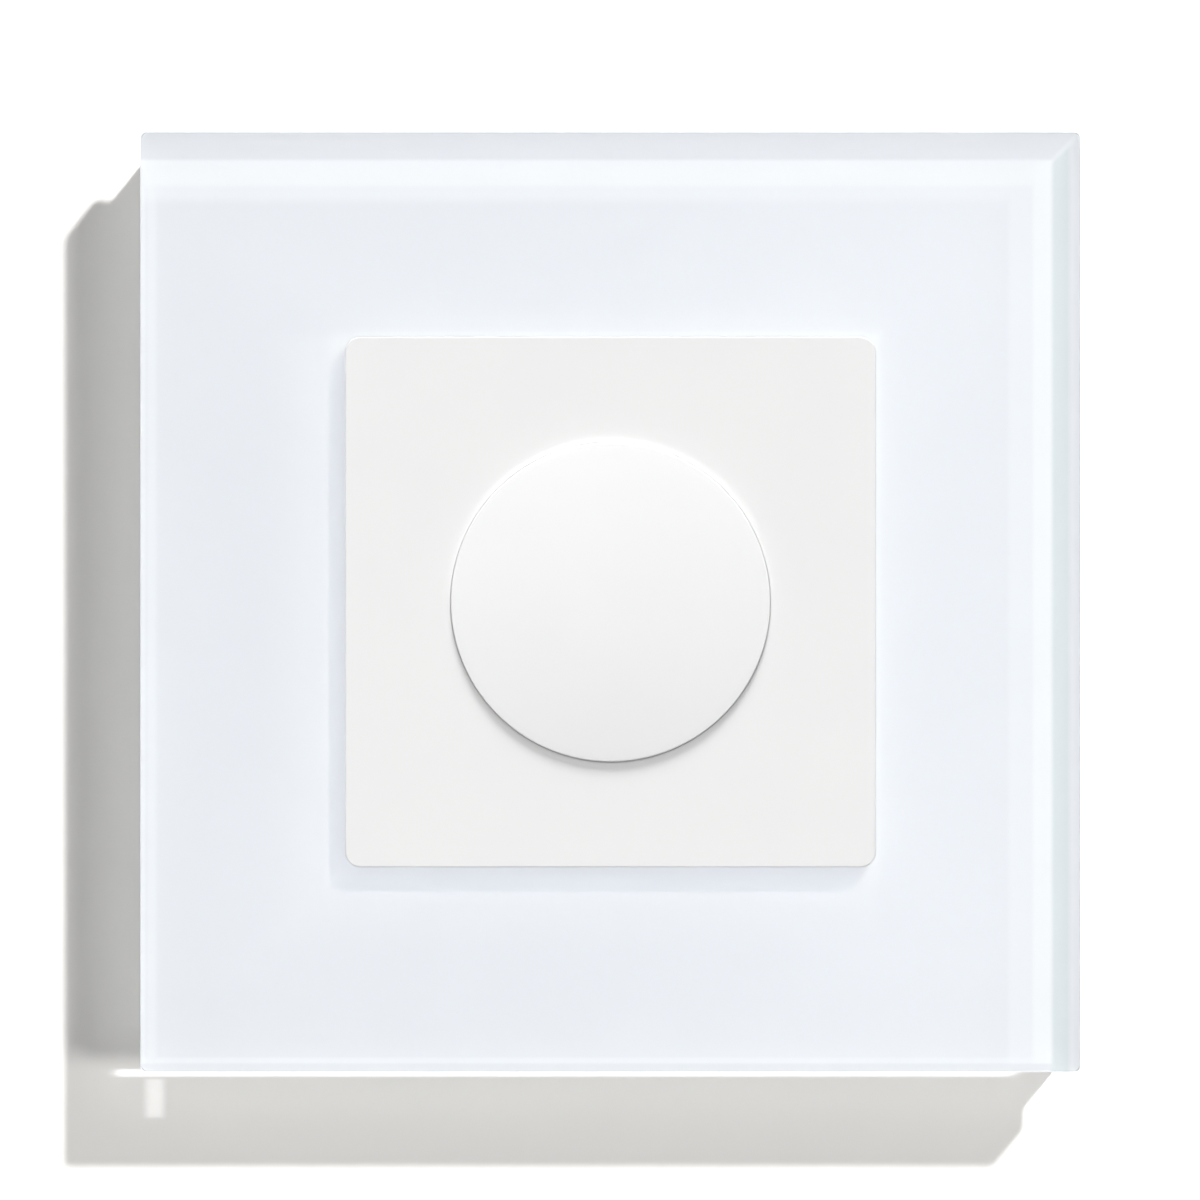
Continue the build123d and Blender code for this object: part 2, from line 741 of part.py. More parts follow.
# The rear board, with its corners cut out round the housing's bosses.
with BuildPart() as power_board:
    with BuildSketch(across(rear_board_back)) as board_outline:
        Rectangle(rear_board_width, rear_board_width)
        with Locations(*corners(rear_board_width - rear_board_cut)):
            Rectangle(rear_board_cut, rear_board_cut, mode=Mode.SUBTRACT)
    extrude(amount=rear_board_thickness)
    rods(rear_board_back, rear_board_front, pin_board_hole_radius, header_places, mode=Mode.SUBTRACT)
power_board.part.label = "power_board"
export_step(power_board.part, "parts/power_board.step")

# The pin header's strip, which sits on the front of the rear board.
with BuildPart() as header_strip:
    header_middle = (header_right, header_up)
    slab(rear_board_front, rear_board_front - strip_height, strip_length, strip_width, header_middle)
    pin_hole = pin_width + 2 * pin_side_gap
    for place in header_places:
        slab(rear_board_front, rear_board_front - strip_height, pin_hole, pin_hole, place, mode=Mode.SUBTRACT)
header_strip.part.label = "header_strip"
export_step(header_strip.part, "parts/header_strip.step")

# The header's pins, which join the two boards.
with BuildPart() as header_pins:
    for place in header_places:
        slab(rear_board_back + pin_reach, front_board_front - pin_reach, pin_width, pin_width, place)
header_pins.part.label = "header_pins"
export_step(header_pins.part, "parts/header_pins.step")

# The terminal block: one channel for each clamp, open towards the wires, with a screw hole and
# a pocket for the screw's head in its roof and a slot for the brass bar in its inner wall.
block_middle = (0, (block_bottom + block_top) / 2)
channel_middle = (block_bottom + channel_top) / 2
channel_front = clamp_front - clamp_end_gap
with BuildPart() as terminal_block:
    slab(block_back, rear_board_back, block_width, block_top - block_bottom, block_middle)
    for place in terminal_places:
        channel_size = (channel_width, channel_top - block_bottom)
        slab(block_roof_front, channel_front, *channel_size, (place, channel_middle), mode=Mode.SUBTRACT)
        rods(block_back, block_roof_front, screw_hole_radius, [(place, clamp_middle)], mode=Mode.SUBTRACT)
        rods(block_back, pocket_floor, screw_pocket_radius, [(place, clamp_middle)], mode=Mode.SUBTRACT)
        bar_slot = (bar_width + 2 * bar_slot_gap, block_back_wall)
        bar_slot_middle = (place, block_top - block_back_wall / 2)
        bar_slot_back = bar_back + bar_slot_gap
        slab(bar_slot_back, bar_front - bar_slot_gap, *bar_slot, bar_slot_middle, mode=Mode.SUBTRACT)
terminal_block.part.label = "terminal_block"
export_step(terminal_block.part, "parts/terminal_block.step")

# One screw, one cage clamp and one brass bar for each wire. The screw turns in the block's roof
# and draws the cage towards its head, which lifts the wire against the bar.
for number, place in enumerate(terminal_places, start=1):
    screw_seat = pocket_floor + terminal_screw_seat_gap
    clamp_screw = screw(
        screw_seat,
        1,
        (terminal_screw_head_radius, terminal_screw_head_height, terminal_screw_head_round),
        (terminal_screw_radius, screw_seat - bar_back - terminal_screw_tip_gap),
        [(2 * terminal_screw_head_radius, terminal_screw_slot_width)],
        terminal_screw_slot_depth,
    )
    with BuildPart() as terminal_screw:
        with Locations((place, 0, clamp_middle)):
            add(clamp_screw)
    terminal_screw.part.label = f"terminal_screw_{number}"
    export_step(terminal_screw.part, f"parts/terminal_screw_{number}.step")

    with BuildPart() as wire_clamp:
        slab(clamp_back, clamp_front, clamp_width, clamp_length, (place, clamp_middle))
        cage_size = (clamp_width - 2 * clamp_wall, clamp_length)
        slab(clamp_roof_front, clamp_floor_back, *cage_size, (place, clamp_middle), mode=Mode.SUBTRACT)
        rods(clamp_back, clamp_roof_front, screw_hole_radius, [(place, clamp_middle)], mode=Mode.SUBTRACT)
    wire_clamp.part.label = f"wire_clamp_{number}"
    export_step(wire_clamp.part, f"parts/wire_clamp_{number}.step")

    with BuildPart() as terminal_bar:
        bar_middle = (place, (clamp_bottom + bar_leg_top) / 2)
        slab(bar_back, bar_front, bar_width, bar_leg_top - clamp_bottom, bar_middle)
        bar_leg_middle = (place, bar_leg_top - bar_thickness / 2)
        slab(bar_front, rear_board_back, bar_width, bar_thickness, bar_leg_middle)
    terminal_bar.part.label = f"terminal_bar_{number}"
    export_step(terminal_bar.part, f"parts/terminal_bar_{number}.step")


# A place in the relay: its distance to the right of the relay's middle, at the relay's height.
def in_relay(right):
    return (relay_middle + right, relay_up)


# A depth in the relay, counted from the rear board into the wall.
def relay_depth(rise):
    return rear_board_back + rise


# A flat piece of the relay between two rises and two distances to the right.
def relay_slab(low, high, left, right, width, mode=Mode.ADD):
    size = (right - left, width)
    slab(relay_depth(high), relay_depth(low), *size, in_relay((left + right) / 2), mode=mode)


# A round piece of the relay.
def relay_rod(low, high, radius, right, mode=Mode.ADD):
    rods(relay_depth(high), relay_depth(low), radius, [in_relay(right)], mode=mode)


# The relay's base on the rear board.
with BuildPart() as relay_base:
    base_half = relay_inner_half - relay_base_gap
    base_width = relay_width - 2 * relay_wall - 2 * relay_base_gap
    relay_slab(0, relay_base_thickness, -base_half, base_half, base_width)
relay_base.part.label = "relay_base"
export_step(relay_base.part, "parts/relay_base.step")

# The relay's case, open towards the board.
with BuildPart() as relay_case:
    case_half = relay_length / 2
    relay_slab(0, relay_height, -case_half, case_half, relay_width)
    outer_edges = relay_case.edges().filter_by(Axis.Y) + relay_case.faces().sort_by(Axis.Y)[-1].edges()
    fillet(outer_edges, radius=relay_edge_round)
    inner_width = relay_width - 2 * relay_wall
    inner_rise = relay_height - relay_wall
    relay_slab(0, inner_rise, -relay_inner_half, relay_inner_half, inner_width, Mode.SUBTRACT)
relay_case.part.label = "relay_case"
export_step(relay_case.part, "parts/relay_case.step")

# The relay's yoke: a plate under the coil and an upright plate that carries the armature.
with BuildPart() as relay_yoke:
    relay_slab(relay_base_thickness, yoke_foot_end, coil_right - yoke_foot_reach, yoke_back, yoke_width)
    relay_slab(relay_base_thickness, yoke_height, yoke_back - yoke_thickness, yoke_back, yoke_width)
    relay_rod(relay_base_thickness, yoke_foot_end, core_radius + core_bore_gap, coil_right, Mode.SUBTRACT)
relay_yoke.part.label = "relay_yoke"
export_step(relay_yoke.part, "parts/relay_yoke.step")

# The coil's bobbin: a tube with a flange at each end.
with BuildPart() as relay_bobbin:
    relay_rod(bobbin_start, bobbin_end, bobbin_tube_radius, coil_right)
    relay_rod(bobbin_start, bobbin_start + bobbin_flange_thickness, bobbin_flange_radius, coil_right)
    relay_rod(bobbin_end - bobbin_flange_thickness, bobbin_end, bobbin_flange_radius, coil_right)
    relay_rod(bobbin_start, bobbin_end, core_radius + core_bore_gap, coil_right, Mode.SUBTRACT)
relay_bobbin.part.label = "relay_bobbin"
export_step(relay_bobbin.part, "parts/relay_bobbin.step")

# The coil's winding, between the bobbin's flanges.
with BuildPart() as relay_winding:
    winding_start = bobbin_start + bobbin_flange_thickness + winding_gap
    winding_end = bobbin_end - bobbin_flange_thickness - winding_gap
    relay_rod(winding_start, winding_end, winding_radius, coil_right)
    relay_rod(winding_start, winding_end, bobbin_tube_radius + winding_gap, coil_right, Mode.SUBTRACT)
relay_winding.part.label = "relay_winding"
export_step(relay_winding.part, "parts/relay_winding.step")

# The iron core, whose head pulls the armature.
with BuildPart() as relay_core:
    relay_rod(relay_base_thickness + core_bore_gap, core_head_end, core_radius, coil_right)
    relay_rod(core_head_start, core_head_end, core_head_radius, coil_right)
relay_core.part.label = "relay_core"
export_step(relay_core.part, "parts/relay_core.step")

# The armature, which rocks on the yoke's inner edge.
with BuildPart() as relay_armature:
    armature_tip = coil_right - core_head_radius - armature_overreach
    relay_slab(armature_start, armature_end, armature_tip, yoke_back, yoke_width)
relay_armature.part.label = "relay_armature"
export_step(relay_armature.part, "parts/relay_armature.step")

# The contact blade on the armature, with the moving contact under its free end.
with BuildPart() as contact_blade:
    blade_tip = contact_place - blade_overreach
    blade_foot = coil_right - blade_root
    relay_slab(armature_end, armature_end + blade_thickness, blade_tip, blade_foot, blade_width)
    relay_rod(armature_end - moving_contact_height, armature_end, contact_radius, contact_place)
contact_blade.part.label = "contact_blade"
export_step(contact_blade.part, "parts/contact_blade.step")

# The fixed contact: a brass upright with a tab that carries the contact's rivet.
tab_end = fixed_contact_top - fixed_contact_height
tab_start = tab_end - fixed_tab_thickness
with BuildPart() as fixed_contact:
    post_right = fixed_tab_left + fixed_tab_thickness
    relay_slab(relay_base_thickness, tab_end, fixed_tab_left, post_right, blade_width)
    relay_slab(tab_start, tab_end, fixed_tab_left, contact_place + contact_radius, blade_width)
    relay_rod(tab_end, fixed_contact_top, contact_radius, contact_place)
fixed_contact.part.label = "fixed_contact"
export_step(fixed_contact.part, "parts/fixed_contact.step")


# The supply transformer's core: two windows side by side round a centre leg.
transformer_middle = (transformer_right, transformer_up)
transformer_back = rear_board_back + transformer_height
window_front = rear_board_back + transformer_yoke
window_back = transformer_back - transformer_yoke
window_width = (transformer_length - transformer_centre_leg) / 2 - transformer_outer_leg
window_offset = transformer_centre_leg / 2 + window_width / 2
with BuildPart() as transformer_core:
    slab(transformer_back, rear_board_back, transformer_length, transformer_thickness, transformer_middle)
    for side in (-1, 1):
        window_size = (window_width, transformer_thickness)
        window_middle = (transformer_right + side * window_offset, transformer_up)
        slab(window_back, window_front, *window_size, window_middle, mode=Mode.SUBTRACT)
transformer_core.part.label = "transformer_core"
export_step(transformer_core.part, "parts/transformer_core.step")

# The transformer's taped coil round the centre leg.
with BuildPart() as transformer_coil:
    coil_width = transformer_centre_leg + 2 * (window_width - coil_window_gap)
    coil_size = (coil_width, coil_length)
    coil_back = window_back - coil_window_gap
    coil_front = window_front + coil_window_gap
    rounded_slab(coil_back, coil_front, *coil_size, coil_corner, transformer_middle)
    bore_size = (transformer_centre_leg + 2 * coil_leg_gap, transformer_thickness + 2 * coil_leg_gap)
    slab(coil_back, coil_front, *bore_size, transformer_middle, mode=Mode.SUBTRACT)
transformer_coil.part.label = "transformer_coil"
export_step(transformer_coil.part, "parts/transformer_coil.step")

# The smoothing capacitor: an upright can with a groove rolled round its foot.
with BuildPart() as smoothing_capacitor:
    can_up = bar_leg_top + electrolytic_bar_gap + electrolytic_radius
    can_place = [(electrolytic_right, can_up)]
    can_back = rear_board_back + electrolytic_height
    rods(can_back, rear_board_back, electrolytic_radius, can_place)
    fillet(smoothing_capacitor.faces().sort_by(Axis.Y)[-1].edges(), radius=electrolytic_edge_round)
    groove_middle = (electrolytic_right, rear_board_back + electrolytic_groove_up, can_up)
    with BuildSketch(Plane(origin=groove_middle, x_dir=(1, 0, 0), z_dir=(0, 0, 1))):
        with Locations((electrolytic_radius, 0)):
            Circle(electrolytic_groove)
    revolve(axis=Axis(groove_middle, (0, 1, 0)), mode=Mode.SUBTRACT)
smoothing_capacitor.part.label = "smoothing_capacitor"
export_step(smoothing_capacitor.part, "parts/smoothing_capacitor.step")

# The film capacitor: a moulded block.
with BuildPart() as film_capacitor:
    block_up = bar_leg_top + film_capacitor_bar_gap + film_capacitor_width / 2
    block_place = (film_capacitor_right, block_up)
    block_size = (film_capacitor_length, film_capacitor_width)
    slab(rear_board_back + film_capacitor_height, rear_board_back, *block_size, block_place)
    upright_edges = film_capacitor.edges().filter_by(Axis.Y)
    back_edges = film_capacitor.faces().sort_by(Axis.Y)[-1].edges()
    fillet(upright_edges + back_edges, radius=film_capacitor_edge_round)
film_capacitor.part.label = "film_capacitor"
export_step(film_capacitor.part, "parts/film_capacitor.step")

# The surge absorber: a thick coated disc that stands on its edge.
with BuildPart() as varistor:
    disc_middle = (varistor_right, rear_board_back + varistor_seat_gap + varistor_radius)
    with BuildSketch(Plane.XY.offset(bar_leg_top + varistor_bar_gap)):
        with Locations(disc_middle):
            Circle(varistor_radius)
    extrude(amount=varistor_thickness)
    fillet(varistor.edges().filter_by(GeomType.CIRCLE), radius=varistor_edge_round)
varistor.part.label = "varistor"
export_step(varistor.part, "parts/varistor.step")

# The fuse: a tube between two metal caps, lying along the rear board.
with BuildPart() as fuse:
    fuse_depth = rear_board_back + fuse_seat_gap + fuse_radius
    for low, length, radius in (
        (0, fuse_cap_length, fuse_radius),
        (fuse_cap_length, fuse_length - 2 * fuse_cap_length, fuse_waist_radius),
        (fuse_length - fuse_cap_length, fuse_cap_length, fuse_radius),
    ):
        with BuildSketch(Plane.XY.offset(bar_leg_top + fuse_bar_gap + low)):
            with Locations((fuse_right, fuse_depth)):
                Circle(radius)
        extrude(amount=length)
fuse.part.label = "fuse"
export_step(fuse.part, "parts/fuse.step")

# The rectifier on the front of the rear board.
with BuildPart() as rectifier:
    rectifier_middle = (-rectifier_left, -rectifier_down)
    chip_body(rear_board_front, rectifier_length, rectifier_width, rectifier_height, rectifier_middle)
    chamfer(rectifier.faces().sort_by(Axis.Y)[0].edges(), length=chip_edge_bevel)
rectifier.part.label = "rectifier"
export_step(rectifier.part, "parts/rectifier.step")

# The driver chip beside it.
with BuildPart() as driver_chip:
    driver_middle = (driver_chip_right, -driver_chip_down)
    chip_body(rear_board_front, driver_chip_length, driver_chip_width, driver_chip_height, driver_middle)
    chamfer(driver_chip.faces().sort_by(Axis.Y)[0].edges(), length=chip_edge_bevel)
driver_chip.part.label = "driver_chip"
export_step(driver_chip.part, "parts/driver_chip.step")
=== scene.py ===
import math

import bmesh
import bpy
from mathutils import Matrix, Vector


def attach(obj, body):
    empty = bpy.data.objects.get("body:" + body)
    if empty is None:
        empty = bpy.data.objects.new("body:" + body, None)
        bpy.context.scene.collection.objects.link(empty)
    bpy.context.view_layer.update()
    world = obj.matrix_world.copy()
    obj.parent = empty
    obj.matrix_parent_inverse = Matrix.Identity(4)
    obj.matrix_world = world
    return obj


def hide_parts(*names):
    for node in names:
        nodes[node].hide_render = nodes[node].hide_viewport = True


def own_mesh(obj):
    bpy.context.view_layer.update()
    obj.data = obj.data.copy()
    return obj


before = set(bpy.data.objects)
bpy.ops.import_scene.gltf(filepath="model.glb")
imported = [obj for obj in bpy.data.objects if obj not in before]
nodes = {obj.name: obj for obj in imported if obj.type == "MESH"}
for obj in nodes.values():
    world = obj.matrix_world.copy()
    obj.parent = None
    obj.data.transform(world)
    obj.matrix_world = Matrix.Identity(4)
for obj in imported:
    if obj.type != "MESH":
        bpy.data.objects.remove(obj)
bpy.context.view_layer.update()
mm = 0.001
farOff = 1000  # pitches that are added before a repeat is counted, so that it never starts below zero
print("frame loaded:", len(nodes), "nodes")


def paint(red, green, blue):  # a colour as a screen shows it, 0 to 255, made linear
    shares = [value / 255 for value in (red, green, blue)]
    return tuple(s / 12.92 if s <= 0.04045 else ((s + 0.055) / 1.055) ** 2.4 for s in shares)


class Wire:  # an output socket in an expression: each operator adds its Math node
    def __init__(self, look, socket):
        self.look = look
        self.socket = socket

    def step(self, operation, *values):
        return self.look.add("ShaderNodeMath", {"operation": operation}, dict(enumerate(values)))

    def __add__(self, other):
        return self.step("ADD", self, other)

    def __radd__(self, other):
        return self.step("ADD", other, self)

    def __sub__(self, other):
        return self.step("SUBTRACT", self, other)

    def __rsub__(self, other):
        return self.step("SUBTRACT", other, self)

    def __mul__(self, other):
        return self.step("MULTIPLY", self, other)

    def __rmul__(self, other):
        return self.step("MULTIPLY", other, self)

    def __truediv__(self, other):
        return self.step("DIVIDE", self, other)

    def __rtruediv__(self, other):
        return self.step("DIVIDE", other, self)

    def __abs__(self):
        return self.step("ABSOLUTE", self)

    def __pow__(self, other):
        return self.step("POWER", self, other)

    def __rpow__(self, other):
        return self.step("POWER", other, self)

    def least(self, other):
        return self.step("MINIMUM", self, other)

    def most(self, other):
        return self.step("MAXIMUM", self, other)

    def fade(self, start, end):  # 0 at start, 1 at end, smooth between
        return self.look.add("ShaderNodeMapRange", {"interpolation_type": "SMOOTHSTEP"},
                             {"Value": self, "From Min": start, "From Max": end})

    def offBeat(self, pitch):  # distance to the nearest multiple of the pitch
        return self.step("PINGPONG", self + pitch * farOff, pitch / 2)


class Look:  # one node tree and the place on the part, in millimetres
    def __init__(self, tree, output="ShaderNodeOutputMaterial"):
        tree.nodes.clear()
        self.tree = tree
        self.output = tree.nodes.new(output)

    def add(self, kind, settings=None, sockets=None, out=0):
        node = self.tree.nodes.new(kind)
        for name, value in (settings or {}).items():
            setattr(node, name, value)
        for name, value in (sockets or {}).items():
            socket = node.inputs[name]
            if isinstance(value, Wire):
                self.tree.links.new(value.socket, socket)
            elif socket.type == "RGBA" and len(value) == 3:
                socket.default_value = (*value, 1)
            else:
                socket.default_value = value
        return Wire(self, node.outputs[out])

    def onPart(self):
        place = self.add("ShaderNodeTexCoord", out="Object")
        self.point = self.add("ShaderNodeVectorMath", {"operation": "SCALE"}, {0: place, "Scale": 1 / mm})
        split = self.add("ShaderNodeSeparateXYZ", None, {0: self.point}).socket.node
        self.x, self.y, self.z = (Wire(self, socket) for socket in split.outputs)
        return self

    def stretched(self, stretch):
        return self.add("ShaderNodeVectorMath", {"operation": "MULTIPLY"}, {0: self.point, 1: stretch})

    def noise(self, size, detail=2, rough=0.5, stretch=None):  # size is the width of a patch, in millimetres
        where = self.stretched(stretch) if stretch else self.point
        return self.add("ShaderNodeTexNoise", None,
                        {"Vector": where, "Scale": 1 / size, "Detail": detail, "Roughness": rough})

    def cells(self, size, out="Distance"):
        return self.add("ShaderNodeTexVoronoi", None, {"Vector": self.point, "Scale": 1 / size}, out)

    def blend(self, share, first, second):  # a Mix node has its colours in sockets 6 and 7 and gives one from 2
        return self.add("ShaderNodeMix", {"data_type": "RGBA"}, {0: share, 6: first, 7: second}, 2)

    def reach(self, across, up):  # distance from an axis
        return (across * across + up * up) ** 0.5

    def zone(self, distance, limits):  # limits: where it starts, where it is full, and its share there
        start, full, share = limits
        return distance.fade(start, full) * share

    def finish(self, sockets, height=None):  # height is the relief in millimetres
        if height is not None:
            sockets["Normal"] = self.add("ShaderNodeBump", None, {"Height": height, "Distance": mm})
        return self.show(self.add("ShaderNodeBsdfPrincipled", None, sockets))

    def show(self, shader):
        self.tree.links.new(shader.socket, self.output.inputs["Surface"])
        return self


def newLook(name):
    material = bpy.data.materials.new(name)
    material.use_nodes = True
    look = Look(material.node_tree).onPart()
    look.material = material
    return look


# moulded plastics: a spark-eroded grain, a faint cloudiness, and the marks of the ejector pins
plasticFinishes = {
    "carrier_plastic": {
        "colour": (0.90, 0.91, 0.92), "cloud": (0.87, 0.885, 0.895), "rough": 0.46, "grain": 0.16, "relief": 0.004,
        "pins": [(37, 37), (-37, 37), (37, -37), (-37, -37), (0, 39), (0, -39), (39, 0), (-39, 0)], "pinRadius": 1.5,
        "pinSide": -1.2,
    },
    "insert_plastic": {
        "colour": (0.885, 0.885, 0.88), "cloud": (0.875, 0.875, 0.873), "rough": 0.42, "grain": 0.12, "relief": 0.0025,
    },
    "button_plastic": {
        "colour": (0.915, 0.915, 0.915), "cloud": (0.905, 0.906, 0.907), "rough": 0.34, "grain": 0.09, "relief": 0.0015,
    },
    "housing_plastic": {
        "colour": (0.80, 0.81, 0.81), "cloud": (0.765, 0.775, 0.78), "rough": 0.5, "grain": 0.22, "relief": 0.008,
        "pins": [(17, 3), (-17, 3), (0, 3), (10, 15), (-10, 15)], "pinRadius": 1.6, "pinSide": 25.9,
    },
    "terminal_plastic": {
        "colour": (0.30, 0.33, 0.36), "cloud": (0.27, 0.30, 0.33), "rough": 0.45, "grain": 0.14, "relief": 0.005,
    },
    "relay_plastic": {
        "colour": (0.12, 0.16, 0.22), "cloud": (0.105, 0.14, 0.20), "rough": 0.33, "grain": 0.3, "relief": 0.003,
    },
    "bobbin_plastic": {
        "colour": (0.82, 0.80, 0.74), "cloud": (0.79, 0.765, 0.70), "rough": 0.48, "grain": 0.12, "relief": 0.004,
    },
    "header_plastic": {
        "colour": (0.060, 0.060, 0.065), "cloud": (0.072, 0.072, 0.078), "rough": 0.5, "grain": 0.08, "relief": 0.004,
    },
    "switch_case": {
        "colour": (0.08, 0.08, 0.09), "cloud": (0.095, 0.095, 0.105), "rough": 0.42, "grain": 0.1, "relief": 0.003,
    },
    "plunger_plastic": {
        "colour": (0.10, 0.10, 0.11), "cloud": (0.12, 0.12, 0.13), "rough": 0.36, "grain": 0.08, "relief": 0.002,
    },
    "chip_resin": {
        "colour": (0.050, 0.050, 0.055), "cloud": (0.065, 0.064, 0.068), "rough": 0.62, "grain": 0.05, "relief": 0.006,
    },
}
plasticDetail = {
    "cloudSize": 11, "cloud": (0.3, 0.7), "cloudRough": 0.08, "swirlSize": 2.4, "swirlDepth": 0.004,
    "grainRough": 0.12, "pinSoft": 0.06, "pinNear": (0.6, 0.3), "pinDepth": 0.06, "pinRough": 0.12, "ior": 1.49,
}


def plasticLook(name, finish):
    detail = plasticDetail
    look = newLook(name)
    grain = look.noise(finish["grain"], detail=4, rough=0.6)
    cloud = look.noise(detail["cloudSize"], detail=3)
    swirl = look.noise(detail["swirlSize"])
    height = grain * finish["relief"] + swirl * detail["swirlDepth"]
    rough = finish["rough"] + (grain - 0.5) * detail["grainRough"] + (cloud - 0.5) * detail["cloudRough"]
    if "pins" in finish:  # round marks of the ejector pins on the face turned to the wall
        nearest = look.reach(look.x - finish["pins"][0][0], look.z - finish["pins"][0][1])
        for across, up in finish["pins"][1:]:
            nearest = nearest.least(look.reach(look.x - across, look.z - up))
        radius, soft, side = finish["pinRadius"], detail["pinSoft"], finish["pinSide"]
        onFace = look.y.fade(side - detail["pinNear"][0], side - detail["pinNear"][1])
        mark = nearest.fade(radius + soft, radius - soft) * onFace
        height = height - mark * detail["pinDepth"]
        rough = rough - mark * detail["pinRough"]
    colour = look.blend(cloud.fade(*detail["cloud"]), finish["colour"], finish["cloud"])
    return look.finish({"Base Color": colour, "Roughness": rough, "IOR": detail["ior"]}, height)


# metals: rolled sheet, turned screws, stamped brass
metalFinishes = {
    "zinc_steel": {
        "colour": (0.70, 0.71, 0.72), "second": (0.60, 0.63, 0.66), "rough": 0.34, "patch": 1.7,
        "lines": (1, 14, 14), "lineDepth": 0.002,
    },
    "screw_steel": {
        "colour": (0.74, 0.74, 0.73), "second": (0.64, 0.65, 0.66), "rough": 0.27, "patch": 0.9,
        "lines": (6, 1, 6), "lineDepth": 0.0015,
    },
    "spring_wire": {
        "colour": (0.72, 0.72, 0.70), "second": (0.62, 0.62, 0.61), "rough": 0.25, "patch": 0.5,
        "lines": (1, 6, 1), "lineDepth": 0.001,
    },
    "contact_brass": {
        "colour": (0.80, 0.62, 0.30), "second": (0.72, 0.50, 0.22), "rough": 0.30, "patch": 1.3,
        "lines": (12, 1, 12), "lineDepth": 0.0015,
    },
    "soft_iron": {
        "colour": (0.60, 0.60, 0.60), "second": (0.50, 0.51, 0.53), "rough": 0.38, "patch": 1.1,
        "lines": (10, 10, 1), "lineDepth": 0.002,
    },
}
metalDetail = {
    "hazeSize": 5, "lineSize": 0.9, "tint": (0.25, 0.95), "patchTint": 0.5, "hazeTint": 0.7,
    "patchRough": 0.08, "hazeRough": 0.14, "lineRough": 0.06,
}


def metalLook(name, finish):
    detail = metalDetail
    look = newLook(name)
    patch = look.cells(finish["patch"], "Color")
    patchShare = look.add("ShaderNodeSeparateColor", None, {0: patch})
    haze = look.noise(detail["hazeSize"], detail=3)
    lines = look.noise(detail["lineSize"], detail=3, rough=0.6, stretch=finish["lines"])
    tint = (patchShare * detail["patchTint"] + haze * detail["hazeTint"]).fade(*detail["tint"])
    colour = look.blend(tint, finish["colour"], finish["second"])
    rough = (finish["rough"] + (patchShare - 0.5) * detail["patchRough"] + (haze - 0.5) * detail["hazeRough"]
             + (lines - 0.5) * detail["lineRough"])
    return look.finish({"Base Color": colour, "Metallic": 1.0, "Roughness": rough}, lines * finish["lineDepth"])


# circuit boards: green solder mask over copper tracks, with tinned pads
boardFinish = {
    "mask": (0.05, 0.28, 0.14), "maskDark": (0.035, 0.22, 0.11), "overTrack": (0.09, 0.37, 0.19),
    "pad": (0.74, 0.74, 0.72), "pitch": 2.54, "padRadius": 0.62, "padSoft": 0.06, "padDepth": 0.03,
    "padMetal": 0.9, "padRough": 0.05, "padPatch": 1 / 0.3, "padWhere": (0.53, 0.55),
    "track": (0.26, 0.2), "trackPatch": 6, "upWhere": (0.52, 0.55), "acrossWhere": (0.47, 0.44), "trackDepth": 0.02,
    "weaveSize": 0.5, "weaveDepth": 0.004, "weaveRough": 0.1, "rough": 0.3,
}


def boardLook(name, finish):
    look = newLook(name)
    pitch = finish["pitch"]
    alongUp = look.x.offBeat(pitch / 2).fade(*finish["track"])
    alongAcross = look.z.offBeat(pitch / 2).fade(*finish["track"])
    region = look.noise(finish["trackPatch"], detail=1)
    tracks = (alongUp * region.fade(*finish["upWhere"])).most(alongAcross * region.fade(*finish["acrossWhere"]))
    fromPad = look.reach(look.x.offBeat(pitch), look.z.offBeat(pitch))
    here = look.noise(finish["padPatch"], detail=0).fade(*finish["padWhere"])
    pads = fromPad.fade(finish["padRadius"], finish["padRadius"] - finish["padSoft"]) * here
    weave = look.noise(finish["weaveSize"])
    mask = look.blend(weave, finish["mask"], finish["maskDark"])
    colour = look.blend(pads, look.blend(tracks, mask, finish["overTrack"]), finish["pad"])
    rough = finish["rough"] + (weave - 0.5) * finish["weaveRough"] + pads * finish["padRough"]
    height = tracks * finish["trackDepth"] + pads * finish["padDepth"] + weave * finish["weaveDepth"]
    return look.finish({"Base Color": colour, "Roughness": rough, "Metallic": pads * finish["padMetal"]}, height)


# wound, coated and sleeved parts of the two boards
copperFinish = {
    "bright": (0.80, 0.42, 0.24), "dark": (0.50, 0.20, 0.10), "wire": 0.16, "toneSize": 1.4, "tone": 0.3,
    "shade": (0.1, 0.9), "depth": 0.05, "rough": 0.28, "toneRough": 0.1,
}
ferriteFinish = {
    "colour": (0.10, 0.10, 0.11), "fleck": (0.17, 0.17, 0.18), "fleckSize": 0.22, "fleckShare": (0.5, 0.15),
    "grain": 0.7, "depth": 0.02, "rough": 0.55, "grainRough": 0.2,
}
tapeFinish = {
    "colour": (0.86, 0.68, 0.14), "dark": (0.74, 0.55, 0.09), "lap": 5.0, "lapEdge": (0.1, 0.02),
    "creaseSize": 1.6, "creases": (1, 3, 1), "crease": (0.35, 0.75), "depth": 0.03, "rough": 0.24,
    "creaseRough": 0.12, "coat": 0.3,
}
sleeveFinish = {
    "colour": (0.07, 0.08, 0.12), "cap": (0.66, 0.66, 0.66), "capEdge": (16.4, 16.5), "shrinkSize": 1.1,
    "wrinkles": (1, 0.4, 1), "depth": 0.012, "rough": 0.3, "shrinkRough": 0.12,
}
pottedFinishes = {
    "film_capacitor_case": {"colour": (0.70, 0.58, 0.16), "dark": (0.62, 0.50, 0.12), "rough": 0.4},
    "varistor_coat": {"colour": (0.10, 0.22, 0.50), "dark": (0.07, 0.17, 0.42), "rough": 0.36},
}
pottedDetail = {
    "bodySize": 3, "body": (0.3, 0.75), "bodyDepth": 0.03, "grain": 0.2, "grainDepth": 0.006, "grainRough": 0.15,
}
